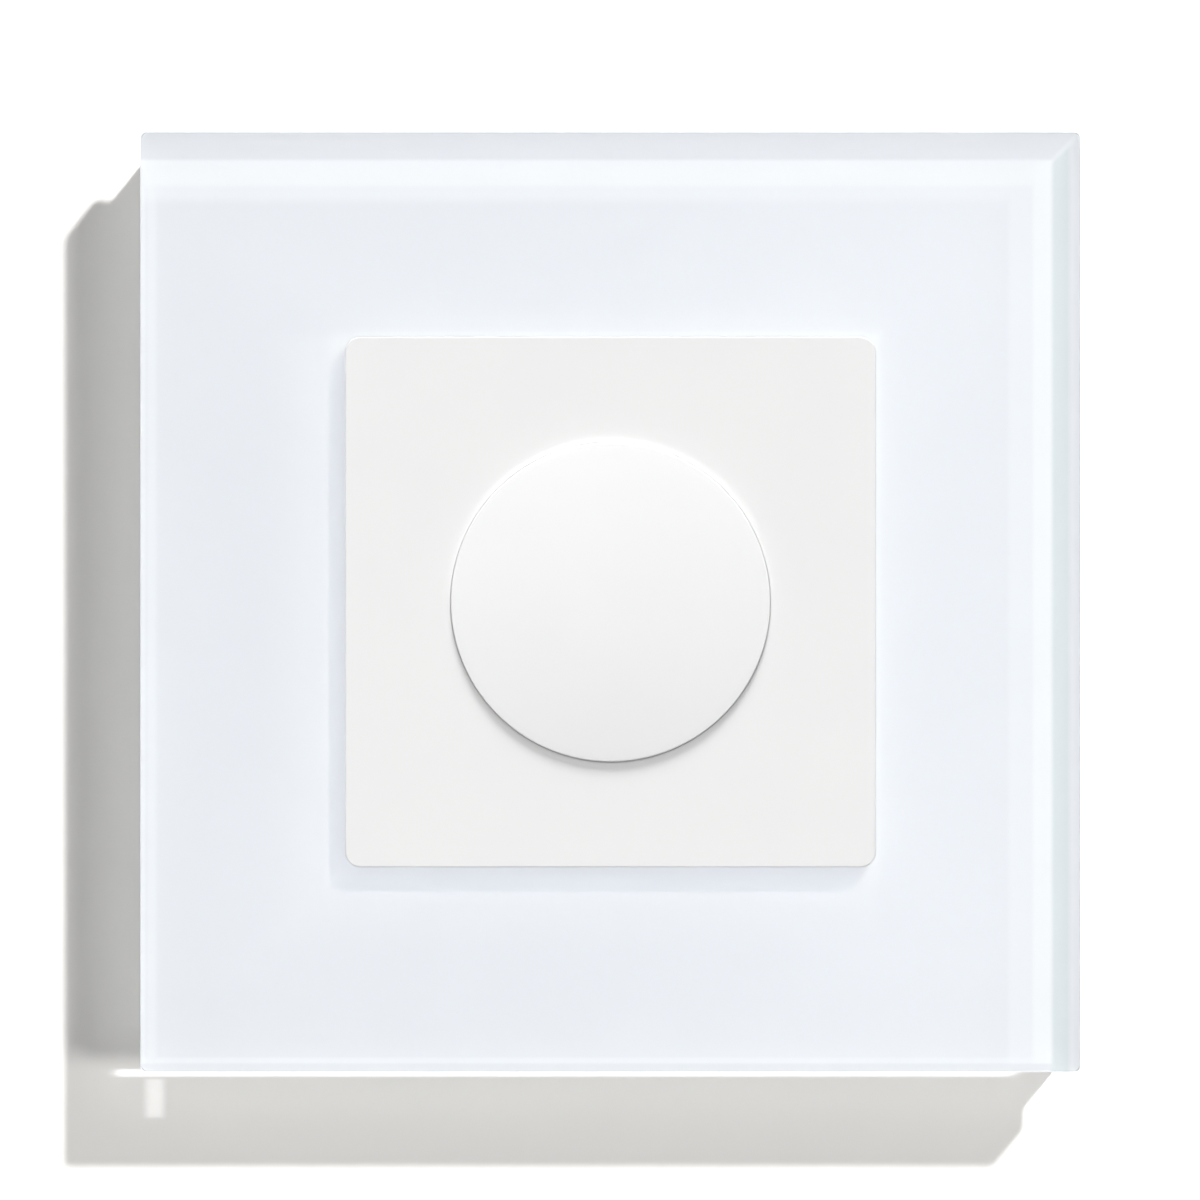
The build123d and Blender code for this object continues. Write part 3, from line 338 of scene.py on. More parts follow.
fuseFinish = {
    "tube": (0.86, 0.84, 0.78), "tubeDark": (0.80, 0.78, 0.71), "cap": (0.76, 0.75, 0.70), "middle": -4.8,
    "capEdge": (2.77, 2.83), "speckSize": 0.35, "depth": 0.006, "rough": 0.3, "speckRough": 0.14,
}


def copperLook(name, finish):
    look = newLook(name)
    turns = look.x.offBeat(finish["wire"]) * (2 / finish["wire"])
    tone = look.noise(finish["toneSize"])
    # painted shade in the grooves between the turns of wire, mixed with a random tone
    shade = (turns * (1 - finish["tone"]) + tone * finish["tone"]).fade(*finish["shade"])
    colour = look.blend(shade, finish["bright"], finish["dark"])
    rough = finish["rough"] + tone * finish["toneRough"]
    return look.finish({"Base Color": colour, "Metallic": 1.0, "Roughness": rough}, (1 - turns) * finish["depth"])


def ferriteLook(name, finish):
    look = newLook(name)
    fleck = look.cells(finish["fleckSize"])
    grain = look.noise(finish["grain"], detail=4, rough=0.7)
    colour = look.blend(fleck.fade(*finish["fleckShare"]) * grain, finish["colour"], finish["fleck"])
    rough = finish["rough"] + (grain - 0.5) * finish["grainRough"]
    return look.finish({"Base Color": colour, "Roughness": rough}, grain * finish["depth"])


def tapeLook(name, finish):
    look = newLook(name)
    lap = look.z.offBeat(finish["lap"]).fade(*finish["lapEdge"])
    crease = look.noise(finish["creaseSize"], detail=3, rough=0.6, stretch=finish["creases"])
    colour = look.blend(crease.fade(*finish["crease"]).most(lap), finish["colour"], finish["dark"])
    rough = finish["rough"] + crease * finish["creaseRough"]
    return look.finish({"Base Color": colour, "Roughness": rough, "Coat Weight": finish["coat"]},
                       (crease + lap) * finish["depth"])


def sleeveLook(name, finish):
    look = newLook(name)
    metal = look.y.fade(*finish["capEdge"])
    shrink = look.noise(finish["shrinkSize"], detail=3, stretch=finish["wrinkles"])
    colour = look.blend(metal, finish["colour"], finish["cap"])
    rough = finish["rough"] + shrink * finish["shrinkRough"]
    return look.finish({"Base Color": colour, "Metallic": metal, "Roughness": rough}, shrink * finish["depth"])


def pottedLook(name, finish):
    detail = pottedDetail
    look = newLook(name)
    body = look.noise(detail["bodySize"], detail=3)
    grain = look.noise(detail["grain"])
    colour = look.blend(body.fade(*detail["body"]), finish["colour"], finish["dark"])
    rough = finish["rough"] + (grain - 0.5) * detail["grainRough"]
    return look.finish({"Base Color": colour, "Roughness": rough},
                       body * detail["bodyDepth"] + grain * detail["grainDepth"])


def fuseLook(name, finish):
    look = newLook(name)
    capped = abs(look.z - finish["middle"]).fade(*finish["capEdge"])
    speck = look.noise(finish["speckSize"], detail=3)
    colour = look.blend(capped, look.blend(speck, finish["tube"], finish["tubeDark"]), finish["cap"])
    rough = finish["rough"] + (speck - 0.5) * finish["speckRough"]
    return look.finish({"Base Color": colour, "Metallic": capped, "Roughness": rough}, speck * finish["depth"])


# the panel's white layer, seen through the glass, with light and shade painted into its colour: painted bright bands
# along the edges stand for the light that the polished edges bend, and greyer painted strips for what the edge throws
# back
panelHalf, openingHalf = 44.0, 24.85
coatFinish = {
    # left and right give the layer's colour, a little darker towards the left; the other colours are painted shade (the
    # greyer strips) and painted light (the bands, lines and paler parts)
    "left": paint(232, 235, 240), "right": paint(237, 240, 245), "strip": paint(229, 232, 237),
    "paintedSideShade": paint(221, 228, 231), "paintedSideLight": paint(238, 240, 244), "paintedLightBand": paint(247, 249, 251),
    "paintedPaleLight": paint(242, 245, 249), "line": paint(244, 247, 250), "cloudSize": 34, "topBandMost": 0.8,
    "leftLineAt": 0.95, "bottomLineAt": 1.0, "sideWidth": 2.38, "topWidth": 2.5, "grain": 0.3, "grainDepth": 0.001,
    "grainRough": 0.06, "rough": 0.5,
    # where each painted band, strip, line and halo lies; across and cloud spread the layer's own colour
    "zones": {  # for each: where it starts and where it is full, in millimetres from its edge, and its share there
        "across": (-34, 34, 0.8), "cloud": (0.3, 0.7, 0.2), "wideHalo": (9.0, 2.0, 0.3),
        "nearHalo": (2.6, 0.2, 0.6), "noHalo": (24, 26, 0.85), "topPale": (7.0, 5.7, 0.8),
        "sidePale": (7.0, 6.3, 0.8), "topBand": (5.4, 4.4, 1.0), "sideBand": (4.6, 4.1, 1.0),
        "bandDim": (4.0, 2.2, 0.65), "leftLine": (0.75, 0.15, 0.45), "bottomLine": (0.4, 0.14, 0.45),
        "leftEdge": (0.5, 0.2, 0.6), "bottomEdge": (0.85, 0.55, 0.8), "topStrip": (2.75, 2.3, 1.0),
        "topEdge": (1.8, 0.3, 0.5), "paintedSideShade": (2.88, 2.28, 1.0), "paintedSideLight": (1.3, 0.6, 1.0),
        "underMitre": (0.12, -0.12, 1.0), "mitreLine": (0.25, 0.02, 0.6), "mitreReach": (3.3, 1.1, 1.0),
    },
}


def coatLook(name, finish):
    look = newLook(name)
    zones = finish["zones"]
    fromTop, fromRight = panelHalf - look.z, panelHalf - look.x
    fromLeft, fromBottom = panelHalf + look.x, panelHalf + look.z
    cloud = look.noise(finish["cloudSize"])
    across = look.zone(look.x, zones["across"]) + look.zone(cloud, zones["cloud"])
    colour = look.blend(across, finish["left"], finish["right"])
    fromInsert = abs(look.x).most(abs(look.z)) - openingHalf
    # painted light: a bright halo round the insert, strongest close to it and mostly left out on its right and upper
    # sides
    paintedHalo = look.zone(fromInsert, zones["wideHalo"]) + look.zone(fromInsert, zones["nearHalo"])
    paintedHalo = paintedHalo * (1 - look.zone(look.x.most(look.z), zones["noHalo"]))
    # painted light: paler parts and brighter bands along the top and right edges, the top band dimmed near its edge
    paintedPaleLight = look.zone(fromTop, zones["topPale"]).most(look.zone(fromRight, zones["sidePale"]))
    paintedLightBand = look.zone(fromTop, zones["topBand"]).least(finish["topBandMost"])
    paintedLightBand = paintedLightBand.most(look.zone(fromRight, zones["sideBand"])) * (1 - look.zone(fromTop, zones["bandDim"]))
    # painted highlights: bright lines about a millimetre in from the left and lower edges
    lines = look.zone(abs(fromLeft - finish["leftLineAt"]), zones["leftLine"]).most(
        look.zone(abs(fromBottom - finish["bottomLineAt"]), zones["bottomLine"]))
    # the diagonal at the top right corner where the two painted strips meet
    mitre = fromRight / finish["sideWidth"] - fromTop / finish["topWidth"]
    # painted shade: greyer strips along the top and right edges, paler again right at the edge
    paintedTopStrip = look.blend(look.zone(fromTop, zones["topEdge"]), finish["strip"], finish["paintedPaleLight"])
    paintedSideStrip = look.blend(look.zone(fromRight, zones["paintedSideLight"]), finish["paintedSideShade"], finish["paintedSideLight"])
    # each painted light or shade in turn over the colour; the left edge gets a painted bright line, the lower edge a
    # painted grey one, and the corner's diagonal a painted bright line
    paintedLightLayers = [
        (paintedHalo, finish["paintedLightBand"]), (paintedPaleLight, finish["paintedPaleLight"]), (paintedLightBand, finish["paintedLightBand"]), (lines, finish["line"]),
        (look.zone(fromLeft, zones["leftEdge"]), finish["line"]),
        (look.zone(fromBottom, zones["bottomEdge"]), finish["strip"]),
        (look.zone(fromTop, zones["topStrip"]), paintedTopStrip),
        (look.zone(fromRight, zones["paintedSideShade"]) * look.zone(mitre, zones["underMitre"]), paintedSideStrip),
        (look.zone(abs(mitre), zones["mitreLine"]) * look.zone(fromTop, zones["mitreReach"]), finish["line"]),
    ]
    for share, over in paintedLightLayers:
        colour = look.blend(share, colour, over)
    grain = look.noise(finish["grain"])
    rough = finish["rough"] + (grain - 0.5) * finish["grainRough"]
    return look.finish({"Base Color": colour, "Roughness": rough}, grain * finish["grainDepth"])


filmFinish = {
    "colour": paint(240, 244, 249), "edge": paint(226, 231, 236), "fibreSize": 0.25, "fibre": (0.35, 0.8),
    "depth": 0.006, "rough": 0.55, "fibreRough": 0.1,
}


def filmLook(name, finish):
    look = newLook(name)
    fibre = look.noise(finish["fibreSize"], detail=3, rough=0.6)
    colour = look.blend(fibre.fade(*finish["fibre"]), finish["colour"], finish["edge"])
    rough = finish["rough"] + (fibre - 0.5) * finish["fibreRough"]
    return look.finish({"Base Color": colour, "Roughness": rough}, fibre * finish["depth"])


# clear glass whose sawn edges keep a trace of the grinding
glassFinish = {
    "tint": (0.985, 0.995, 0.993), "ior": 1.5, "edgeRough": 0.05, "grindSize": 0.35, "relief": 0.0003,
    "grindLines": (0.2, 3, 0.2), "outerEdge": (-0.15, -0.05), "innerEdge": (0.15, 0.05),
}


def glassLook(name, finish):
    look = newLook(name)
    fromMiddle = abs(look.x).most(abs(look.z))
    onEdge = (fromMiddle - panelHalf).fade(*finish["outerEdge"]).most(
        (fromMiddle - openingHalf).fade(*finish["innerEdge"]))
    grinding = look.noise(finish["grindSize"], detail=3, rough=0.6, stretch=finish["grindLines"])
    rough = onEdge * grinding * finish["edgeRough"]
    return look.finish({"Base Color": finish["tint"], "Roughness": rough, "IOR": finish["ior"],
                        "Transmission Weight": 1.0}, onEdge * grinding * finish["relief"])


looks = {name: plasticLook(name, finish) for name, finish in plasticFinishes.items()}
looks |= {name: metalLook(name, finish) for name, finish in metalFinishes.items()}
looks["circuit_board"] = boardLook("circuit_board", boardFinish)
looks["copper_wire"] = copperLook("copper_wire", copperFinish)
looks["ferrite"] = ferriteLook("ferrite", ferriteFinish)
looks["coil_tape"] = tapeLook("coil_tape", tapeFinish)
looks["capacitor_sleeve"] = sleeveLook("capacitor_sleeve", sleeveFinish)
looks |= {name: pottedLook(name, finish) for name, finish in pottedFinishes.items()}
looks["fuse_ceramic"] = fuseLook("fuse_ceramic", fuseFinish)
looks["white_film"] = filmLook("white_film", filmFinish)
looks["clear_glass"] = glassLook("clear_glass", glassFinish)
coat = coatLook("white_coat", coatFinish)

for node in nodes.values():
    for place in node.material_slots:
        place.material = looks[place.material.name.split(".")[0]].material
print("finishes made:", len(looks) + 1)


sharpFrom = math.radians(32)  # faces that meet at a wider angle keep a sharp edge


def makePiece(name, shape, materials):
    mesh = bpy.data.meshes.new(name)
    bmesh.ops.recalc_face_normals(shape, faces=shape.faces)
    shape.to_mesh(mesh)
    shape.free()
    for look in materials:
        mesh.materials.append(look.material)
    for face in mesh.polygons:
        face.use_smooth = True
    mesh.set_sharp_from_angle(angle=sharpFrom)
    piece = bpy.data.objects.new(name, mesh)
    bpy.context.scene.collection.objects.link(piece)
    return piece


def joinLoops(shape, first, second, finish=0):
    for n in range(len(first)):
        after = (n + 1) % len(first)
        face = shape.faces.new((first[n], first[after], second[after], second[n]))
        face.material_index = finish


# the glass panel, one closed solid with polished bevels; its back carries the white coat
glassSize = {
    "half": panelHalf, "corner": 0.5, "openingHalf": openingHalf, "openingCorner": 1.45, "front": -11.0, "back": -7.01,
    "bevel": 0.12, "openingBevel": 0.04, "backBevel": 0.03, "cornerSteps": 8,
}


def squareLoop(shape, half, corner, y, steps):
    loop = []
    for quarter, (right, up) in enumerate(((1, 1), (-1, 1), (-1, -1), (1, -1))):
        for step in range(steps + 1):
            turn = math.radians(90 * (quarter + step / steps))
            x = right * (half - corner) + corner * math.cos(turn)
            z = up * (half - corner) + corner * math.sin(turn)
            loop.append(shape.verts.new((x * mm, y * mm, z * mm)))
    return loop


def makeGlass(size):
    shape = bmesh.new()
    rows = [(size["front"], size["bevel"], size["openingBevel"]), (size["front"] + size["bevel"], 0, 0),
            (size["back"] - size["backBevel"], 0, 0), (size["back"], size["backBevel"], size["backBevel"])]
    outer = [squareLoop(shape, size["half"] - cut, size["corner"] - cut, y, size["cornerSteps"]) for y, cut, _ in rows]
    inner = [squareLoop(shape, size["openingHalf"] + cut, size["openingCorner"] + cut, y, size["cornerSteps"])
             for y, _, cut in rows]
    for loops in (outer, inner):
        for first, second in zip(loops, loops[1:]):
            joinLoops(shape, first, second)
    joinLoops(shape, outer[0], inner[0])
    joinLoops(shape, outer[3], inner[3], 1)
    return makePiece("glassPanel", shape, [looks["clear_glass"], coat])


glass = makeGlass(glassSize)
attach(glass, "front_panel")
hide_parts("glass_panel")
print("glass made")


# the round button: a thin dome with a rounded rim, a skirt with the stop flange, and the stem behind
buttonSize = {
    "radius": 14.96, "crown": -12.4, "rim": -11.8, "edgeRound": 0.15, "lip": -9.6, "end": -8.8, "flange": 16.1,
    "inside": 13.5, "back": -10.2, "stem": 2.0, "stemTip": -8.95, "around": 144, "domeSteps": 22, "edgeSteps": 6,
}


def makeButton(size):
    shape = bmesh.new()
    flat = size["radius"] - size["edgeRound"]
    high = size["rim"] - size["crown"]
    sphere = (size["radius"] ** 2 + high ** 2) / (2 * high)
    profile = []
    for step in range(1, size["domeSteps"] + 1):
        r = flat * step / size["domeSteps"]
        profile.append((r, size["crown"] + sphere - math.sqrt(sphere ** 2 - r ** 2)))
    start = profile[-1][1]
    for step in range(1, size["edgeSteps"] + 1):
        turn = math.radians(90 * step / size["edgeSteps"])
        profile.append((flat + size["edgeRound"] * math.sin(turn), start + size["edgeRound"] * (1 - math.cos(turn))))
    profile += [(size["radius"], size["lip"]), (size["flange"], size["lip"]), (size["flange"], size["end"]),
                (size["inside"], size["end"]), (size["inside"], size["back"]), (size["stem"], size["back"]),
                (size["stem"], size["stemTip"])]
    around = size["around"]
    loops = [[shape.verts.new((r * math.cos(2 * math.pi * n / around) * mm, y * mm,
                               r * math.sin(2 * math.pi * n / around) * mm)) for n in range(around)]
             for r, y in profile]
    for first, second in zip(loops, loops[1:]):
        joinLoops(shape, first, second)
    for loop, y in ((loops[0], size["crown"]), (loops[-1], size["stemTip"])):
        middle = shape.verts.new((0, y * mm, 0))
        for n in range(around):
            shape.faces.new((loop[n], loop[(n + 1) % around], middle))
    return makePiece("touchButton", shape, [looks["button_plastic"]])


button = makeButton(buttonSize)
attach(button, "button")
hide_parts("touch_button")
print("button made")


# the square insert: a plate with the button's hole, a skirt, the button's guide and crush ribs
insertSize = {
    "half": 24.8, "corner": 1.4, "edgeRound": 0.08, "front": -11.3, "plateBack": -9.7, "rim": -2.5,
    "insideHalf": 23.4, "insideCorner": 0.7, "hole": 15.0, "guideInside": 16.5, "guideOutside": 17.8,
    "guideEnd": -7.4, "ribDepth": 0.3, "ribWidth": 1.2, "ribSpacing": 30.0, "ribEnd": -4.9, "ribRoot": 0.1,
    "sideSteps": 32, "cornerSteps": 8, "roundSteps": 4, "hold": 0.03,
}


def squareOutline(size, half, corner):
    outline = []
    widest = math.atan((half - corner) / half)
    for quarter in range(4):
        local = [(half, half * math.tan(widest * (2 * step / size["sideSteps"] - 1)))
                 for step in range(size["sideSteps"])]
        for step in range(size["cornerSteps"]):
            turn = math.radians(90 * step / size["cornerSteps"])
            local.append((half - corner + corner * math.cos(turn), half - corner + corner * math.sin(turn)))
        for _ in range(quarter):
            local = [(-b, a) for a, b in local]
        outline += local
    return outline


def makeInsert(size):
    shape = bmesh.new()

    def loopAt(outline, y):
        return [shape.verts.new((x * mm, y * mm, z * mm)) for x, z in outline]

    def square(cut):
        return squareOutline(size, size["half"] - cut, size["corner"] - cut)

    def circle(radius):
        return [(radius * x / math.hypot(x, z), radius * z / math.hypot(x, z)) for x, z in square(0)]

    front, back, rounding = size["front"], size["plateBack"], size["edgeRound"]
    loops = [loopAt(circle(size["hole"]), front), loopAt(square(rounding + size["hold"]), front)]
    for step in range(size["roundSteps"] + 1):
        turn = math.radians(90 * step / size["roundSteps"])
        loops.append(loopAt(square(rounding * (1 - math.sin(turn))), front + rounding * (1 - math.cos(turn))))
    inside = squareOutline(size, size["insideHalf"], size["insideCorner"])
    loops += [loopAt(square(0), front + rounding + size["hold"]), loopAt(square(0), size["rim"]),
              loopAt(inside, size["rim"]), loopAt(inside, back)]
    for radius, y in (("guideOutside", back), ("guideOutside", size["guideEnd"]), ("guideInside", size["guideEnd"]),
                      ("guideInside", back), ("hole", back)):
        loops.append(loopAt(circle(size[radius]), y))
    for first, second in zip(loops, loops[1:] + loops[:1]):
        joinLoops(shape, first, second)
    inner, outer = size["insideHalf"] - size["ribDepth"], size["insideHalf"] + size["ribRoot"]
    for along in (-size["ribSpacing"] / 2, size["ribSpacing"] / 2):
        low, high = along - size["ribWidth"] / 2, along + size["ribWidth"] / 2
        corners = [(inner, low), (outer, low), (outer, high), (inner, high)]
        for _ in range(4):
            corners = [(-b, a) for a, b in corners]
            ends = [loopAt(corners, y) for y in (size["rim"], size["ribEnd"])]
            joinLoops(shape, *ends)
            shape.faces.new(ends[0])
            shape.faces.new(ends[1])
    return makePiece("squareInsert", shape, [looks["insert_plastic"]])


insert = makeInsert(insertSize)
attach(insert, "mechanism")
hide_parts("module_front")
print("insert made")


# the touch spring: an open coil that the button flattens as it goes in
springSize = {
    "radius": 5.2, "wire": 0.3, "turns": 3, "boardEnd": -6.15, "buttonEnd": -10.15, "stroke": 0.4,
    "stepsPerTurn": 48, "around": 12,
}


def makeSpring(size):
    shape = bmesh.new()
    start, finish = size["boardEnd"] - size["wire"], size["buttonEnd"] + size["wire"]
    steps = size["turns"] * size["stepsPerTurn"]
    slope = (finish - start) / (2 * math.pi * size["turns"])
    loops = []
    for step in range(steps + 1):
        turn = 2 * math.pi * step / size["stepsPerTurn"]
        outward = Vector((math.cos(turn), 0, math.sin(turn)))
        along = Vector((-size["radius"] * math.sin(turn), slope, size["radius"] * math.cos(turn))).normalized()
        middle = outward * size["radius"] + Vector((0, start + slope * turn, 0))
        side = along.cross(outward)
        loop = []
        for n in range(size["around"]):
            bend = 2 * math.pi * n / size["around"]
            place = middle + (outward * math.cos(bend) + side * math.sin(bend)) * size["wire"]
            loop.append(shape.verts.new(place * mm))
        loops.append(loop)
    for first, second in zip(loops, loops[1:]):
        joinLoops(shape, first, second)
    shape.faces.new(loops[0])
    shape.faces.new(loops[-1])
    return makePiece("touchSpring", shape, [looks["spring_wire"]])


spring = makeSpring(springSize)
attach(spring, "mechanism")
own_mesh(spring)
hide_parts("touch_spring")
print("spring made")


# screws with cut threads: rings run from the head's face to the tip
boxScrewSize = {
    "headTop": -4.3, "towards": 1, "headRadius": 3.4, "headHeight": 2.1, "headRound": 0.8, "neck": 1.0,
    "neckRadius": 1.5, "root": 1.45, "crest": 1.74, "pitch": 0.6, "length": 27.1, "places": [(30.15, 0), (-30.15, 0)],
    "recess": (3.6, 0.8), "crossed": True, "recessDepth": 1.2,
}
terminalScrewSize = {
    "headTop": 23.85, "towards": -1, "headRadius": 2.8, "headHeight": 2.0, "headRound": 0.3, "neck": 0.0,
    "neckRadius": 1.5, "root": 1.22, "crest": 1.49, "pitch": 0.6, "length": 10.0,
    "across": (-9.2, 0, 9.2), "up": -16.8, "recess": (6.0, 0.8), "crossed": False, "recessDepth": 1.0,
}
screwDetail = {
    "around": 40, "rowsPerPitch": 6, "roundSteps": 6, "tipChamfer": 0.45, "tipShare": 0.62, "ridgeHalf": 0.42,
    "recessLift": 0.5, "recessTaper": 0.86,
}


def screwRings(size):  # (distance from the head's face, radius at each angle)
    around, rounding = screwDetail["around"], size["headRound"]
    rings = []
    for step in range(screwDetail["roundSteps"] + 1):
        turn = math.radians(90 * step / screwDetail["roundSteps"])
        radius = size["headRadius"] - rounding + rounding * math.sin(turn)
        rings.append((rounding * (1 - math.cos(turn)), [radius] * around))
    rings.append((size["headHeight"], [size["headRadius"]] * around))
    start = size["headHeight"] + size["neck"]
    if size["neck"]:
        rings.append((size["headHeight"], [size["neckRadius"]] * around))
        rings.append((start, [size["neckRadius"]] * around))
    rows = math.ceil((size["length"] - start) / size["pitch"] * screwDetail["rowsPerPitch"])
    for row in range(rows + 1):
        along = start + (size["length"] - start) * row / rows
        fromTip = size["length"] - along
        tipShare = screwDetail["tipShare"]
        limit = min(1.0, tipShare + (1 - tipShare) * fromTip / screwDetail["tipChamfer"])
        radii = []
        for n in range(around):
            phase = (along / size["pitch"] - n / around) % 1
            ridge = max(0.0, 1 - abs(phase - 0.5) / screwDetail["ridgeHalf"])
            radii.append(min(size["root"] + (size["crest"] - size["root"]) * ridge, size["crest"] * limit))
        rings.append((along, radii))
    return rings


def makeScrews(name, size):
    shape = bmesh.new()
    around = screwDetail["around"]
    for across, up in size["places"]:
        loops = []
        for along, radii in screwRings(size):
            y = size["headTop"] + size["towards"] * along
            loops.append([shape.verts.new(((across + r * math.cos(2 * math.pi * n / around)) * mm, y * mm,
                                           (up + r * math.sin(2 * math.pi * n / around)) * mm))
                          for n, r in enumerate(radii)])
        for first, second in zip(loops, loops[1:]):
            joinLoops(shape, first, second)
        shape.faces.new(loops[0])
        shape.faces.new(loops[-1])
    piece = makePiece(name, shape, [looks["screw_steel"]])
    cutter = makeRecess(size)
    cut = piece.modifiers.new("recess", "BOOLEAN")
    cut.object = cutter
    cut.solver = "EXACT"
    solid = bpy.data.meshes.new_from_object(piece.evaluated_get(bpy.context.evaluated_depsgraph_get()))
    piece.modifiers.clear()
    piece.data = solid
    bpy.data.objects.remove(cutter)
    solid.validate()
    return piece


def makeRecess(size):  # a tapering slot, or a cross of two
    shape = bmesh.new()
    top = size["headTop"] - size["towards"] * screwDetail["recessLift"]
    floor = size["headTop"] + size["towards"] * size["recessDepth"]
    long, short = size["recess"][0] / 2, size["recess"][1] / 2
    outline = [(long, -short), (long, short), (-long, short), (-long, -short)]
    if size["crossed"]:
        outline = [(long, -short), (long, short), (short, short), (short, long), (-short, long), (-short, short),
                   (-long, short), (-long, -short), (-short, -short), (-short, -long), (short, -long), (short, -short)]
    for across, up in size["places"]:
        loops = [[shape.verts.new(((across + a * share) * mm, y * mm, (up + b * share) * mm)) for a, b in outline]
                 for y, share in ((top, 1.0), (floor, screwDetail["recessTaper"]))]
        joinLoops(shape, *loops)
        shape.faces.new(loops[0])
        shape.faces.new(loops[1])
    return makePiece("recessCutter", shape, [looks["screw_steel"]])


boxScrews = makeScrews("boxScrews", boxScrewSize)
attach(boxScrews, "mechanism")
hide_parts("box_screws")
for number, across in enumerate(terminalScrewSize["across"], start=1):
    place = {"places": [(across, terminalScrewSize["up"])]}
    screw = makeScrews("terminalScrew" + str(number), terminalScrewSize | place)
    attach(screw, "screw_" + str(number))
    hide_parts("terminal_screw_" + str(number))
print("screws made")


# the wall behind the part, white, seen only from its front and open where the panel covers it
wallFinish = {
    "half": 2500.0, "hole": 85.0, "behind": 0.02, "seen": (1.0, 0.985, 0.955), "colour": (0.80, 0.80, 0.80),
    "rough": 0.9, "plasterSize": 1.2, "plaster": 0.02, "paintedGlow": 0.6, "lowSoft": 0.45, "highSoft": 0.3,
    # painted glints on the wall below the panel: a bright line and a faint spot
    "line": {"left": -47.6, "right": 39.1, "low": -45.0, "high": -44.0, "endSoft": 2.0, "share": 1.0},
    "spot": {"left": -44.3, "right": -41.8, "low": -48.9, "high": -44.9, "endSoft": 0.9, "share": 0.38},
}


def makeWall(finish):
    shape = bmesh.new()
    y = finish["behind"] * mm
    around, hole = [[shape.verts.new((a * half, y, b * half)) for a, b in ((-1, -1), (1, -1), (1, 1), (-1, 1))]
                    for half in (finish["half"] * mm, finish["hole"] / 2 * mm)]
    joinLoops(shape, around, hole)
    look = newLook("wall_paint")
    rays = look.add("ShaderNodeLightPath", out="Is Camera Ray")
    paintedGlints = []  # painted light where light would leave the lower edge of the glass: a thin bright line, and a faint spot below it
    for paintedGlint in (finish["line"], finish["spot"]):
        left = look.x.fade(paintedGlint["left"], paintedGlint["left"] + paintedGlint["endSoft"])
        right = look.x.fade(paintedGlint["right"], paintedGlint["right"] - paintedGlint["endSoft"])
        low = look.z.fade(paintedGlint["low"], paintedGlint["low"] + finish["lowSoft"])
        high = look.z.fade(paintedGlint["high"], paintedGlint["high"] - finish["highSoft"])
        paintedGlints.append(left * right * low * high * paintedGlint["share"])
    colour = look.blend(rays, finish["colour"], finish["seen"])
    # the painted glints glow only where the camera sees them
    paintedGlow = look.blend(paintedGlints[0].most(paintedGlints[1]) * rays, (0, 0, 0), [finish["paintedGlow"]] * 3)
    relief = look.noise(finish["plasterSize"], detail=4, rough=0.6) * finish["plaster"]
    front = look.add("ShaderNodeBsdfPrincipled", None, {
        "Base Color": colour, "Roughness": finish["rough"], "Specular IOR Level": 0.0, "Emission Color": paintedGlow,
        "Emission Strength": 1.0, "Normal": look.add("ShaderNodeBump", None, {"Height": relief, "Distance": mm}),
    })
    unseen = look.add("ShaderNodeBsdfTransparent")
    behind = look.add("ShaderNodeNewGeometry", out="Backfacing")
    look.show(look.add("ShaderNodeMixShader", None, {0: behind, 1: front, 2: unseen}))
    wall = makePiece("wall", shape, [look])
    if wall.data.polygons[0].normal.y > 0:
        wall.data.flip_normals()
    return wall


wall = makeWall(wallFinish)

# lamps: each is a far lamp with a travel direction, its share of a plain level on a facing surface, and its softness
lamps = {
    "faceKey": {"travel": (-0.305, 1, -0.458), "share": 0.11, "soft": 1.5, "on": "face"},
    "faceTop": {"travel": (-0.08, 0.42, -1), "share": 0.385, "soft": 24, "on": "face"},
    "faceSide": {"travel": (0.4, 1, -0.2), "share": 0.15, "soft": 40, "on": "face"},
    "panelKey": {"travel": (-0.385, 1, -0.56), "share": 0.105, "soft": 0.7, "on": "panel",
                 "tint": (1.0, 0.95, 0.75)},
    "panelFront": {"travel": (-0.3, 1, -0.3), "share": 0.345, "soft": 40, "on": "panelFill",
                   "tint": (1.0, 1.015, 1.075)},
    "bodyKey": {"travel": (-0.5, 1, -0.5), "share": 0.34, "soft": 8, "on": "body"},
    "bodyLeft": {"travel": (1, 0.3, -0.3), "share": 0.11, "soft": 40, "on": "body"},
    "bodyRight": {"travel": (-1, 0.3, -0.4), "share": 0.03, "soft": 40, "on": "body"},
    "rearKey": {"travel": (-0.6, -1, -1.3), "share": 0.28, "soft": 16, "on": "rear"},
    "rearFill": {"travel": (0.7, -1, 0.1), "share": 0.25, "soft": 40, "on": "rear"},
    "wallKey": {"travel": (-0.705, 1, -0.868), "share": 0.80, "soft": 3.5, "on": "wall"},
    "wallSide": {"travel": (-0.705, 1, 0.12), "share": 0.28, "soft": 13, "on": "wall"},
}


# what each kind of lamp lights, and what doesn't throw a shadow in it
panelPieces = [glass, nodes["bonding_film"]]
facePieces = [insert, button]
lampLinks = {
    "face": (facePieces, "INCLUDE", [wall]),
    "body": ([wall] + panelPieces + facePieces, "EXCLUDE", [wall, glass]),
    "panel": (panelPieces, "INCLUDE", [wall, glass]),
    "panelFill": (panelPieces, "INCLUDE", [wall, glass] + facePieces),
    "rear": ([wall], "EXCLUDE", [glass]),
    "wall": ([wall], "INCLUDE", []),
}
unmirrored = ("panelFill", "rear")  # kinds that would show as a bright spot in polished parts


def lampGroup(name, members, state):
    group = bpy.data.collections.new(name)
    for member in members:
        group.objects.link(member)
    for entry in group.collection_objects:
        entry.light_linking.link_state = state
    return group


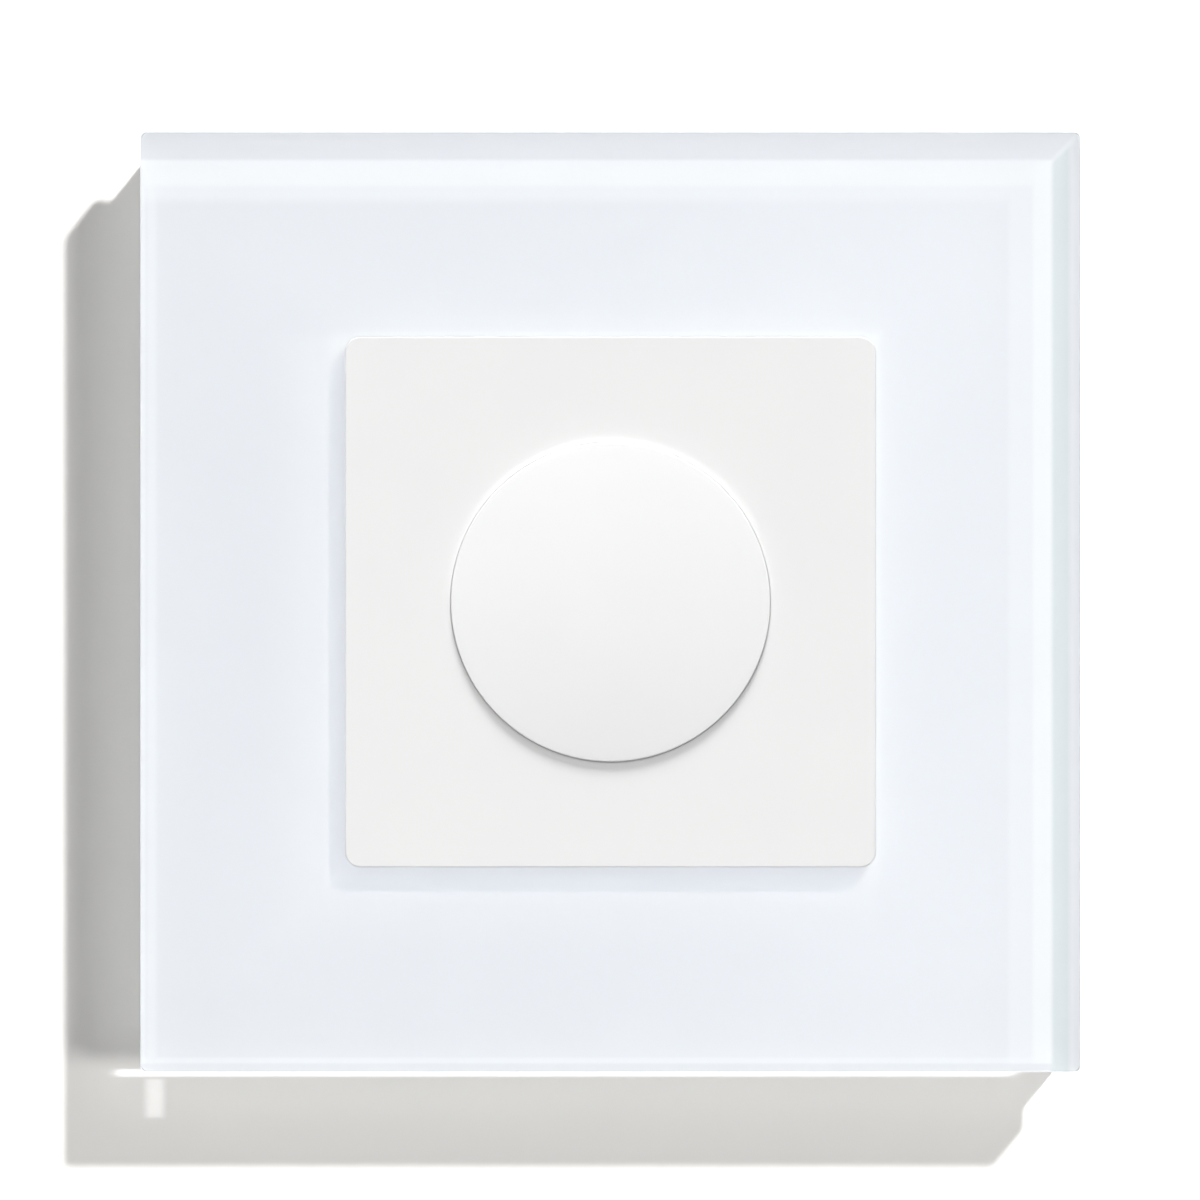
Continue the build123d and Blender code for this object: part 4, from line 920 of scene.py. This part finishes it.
def makeLamp(name, lamp):
    travel = Vector(lamp["travel"]).normalized()
    data = bpy.data.lights.new(name, "SUN")
    data.energy = lamp["share"] * math.pi / abs(travel.y)
    data.angle = math.radians(lamp["soft"])
    data.color = lamp.get("tint", (1.0, 1.0, 1.0))
    made = bpy.data.objects.new(name, data)
    made.rotation_mode = "QUATERNION"
    made.rotation_quaternion = travel.to_track_quat("-Z", "Y")
    bpy.context.scene.collection.objects.link(made)
    receivers, state, clear = lampLinks[lamp["on"]]
    made.light_linking.receiver_collection = lampGroup(name + "Lit", receivers, state)
    made.light_linking.blocker_collection = lampGroup(name + "Clear", clear, "EXCLUDE")
    made.visible_glossy = lamp["on"] not in unmirrored


for name, lamp in lamps.items():
    makeLamp(name, lamp)

# the surroundings: white where the camera or a mirror sees them, a plain even light elsewhere
surroundings = {"seen": 1.0, "light": 0.32}
world = bpy.data.worlds.new("surroundings")
bpy.context.scene.world = world
world.use_nodes = True
air = Look(world.node_tree, "ShaderNodeOutputWorld")
rays = air.add("ShaderNodeLightPath")
seen = rays
for kind in ("Is Glossy Ray", "Is Transmission Ray"):
    seen = seen.most(Wire(air, rays.socket.node.outputs[kind]))
seen = seen * (1 - Wire(air, rays.socket.node.outputs["Diffuse Depth"]).least(1.0))
strength = surroundings["light"] + seen * (surroundings["seen"] - surroundings["light"])
air.show(air.add("ShaderNodeBackground", None, {"Color": (1.0, 1.0, 1.0), "Strength": strength}))
print("wall, lamps and surroundings made")

# the camera stands straight in front, a millimetre to the left of the part's middle
cameraPlace = {"x": -0.985, "y": -1259.0, "z": 0.19, "lens": 400, "sensor": 36, "nearest": 10.0}
cameraData = bpy.data.cameras.new("camera")
cameraData.lens = cameraPlace["lens"]
cameraData.sensor_width = cameraPlace["sensor"]
cameraData.clip_start = cameraPlace["nearest"] * mm
camera = bpy.data.objects.new("camera", cameraData)
camera.location = [cameraPlace[axis] * mm for axis in "xyz"]
camera.rotation_euler = (math.radians(90), 0, 0)
bpy.context.scene.collection.objects.link(camera)
bpy.context.scene.camera = camera
bpy.context.scene.view_settings.view_transform = "Standard"
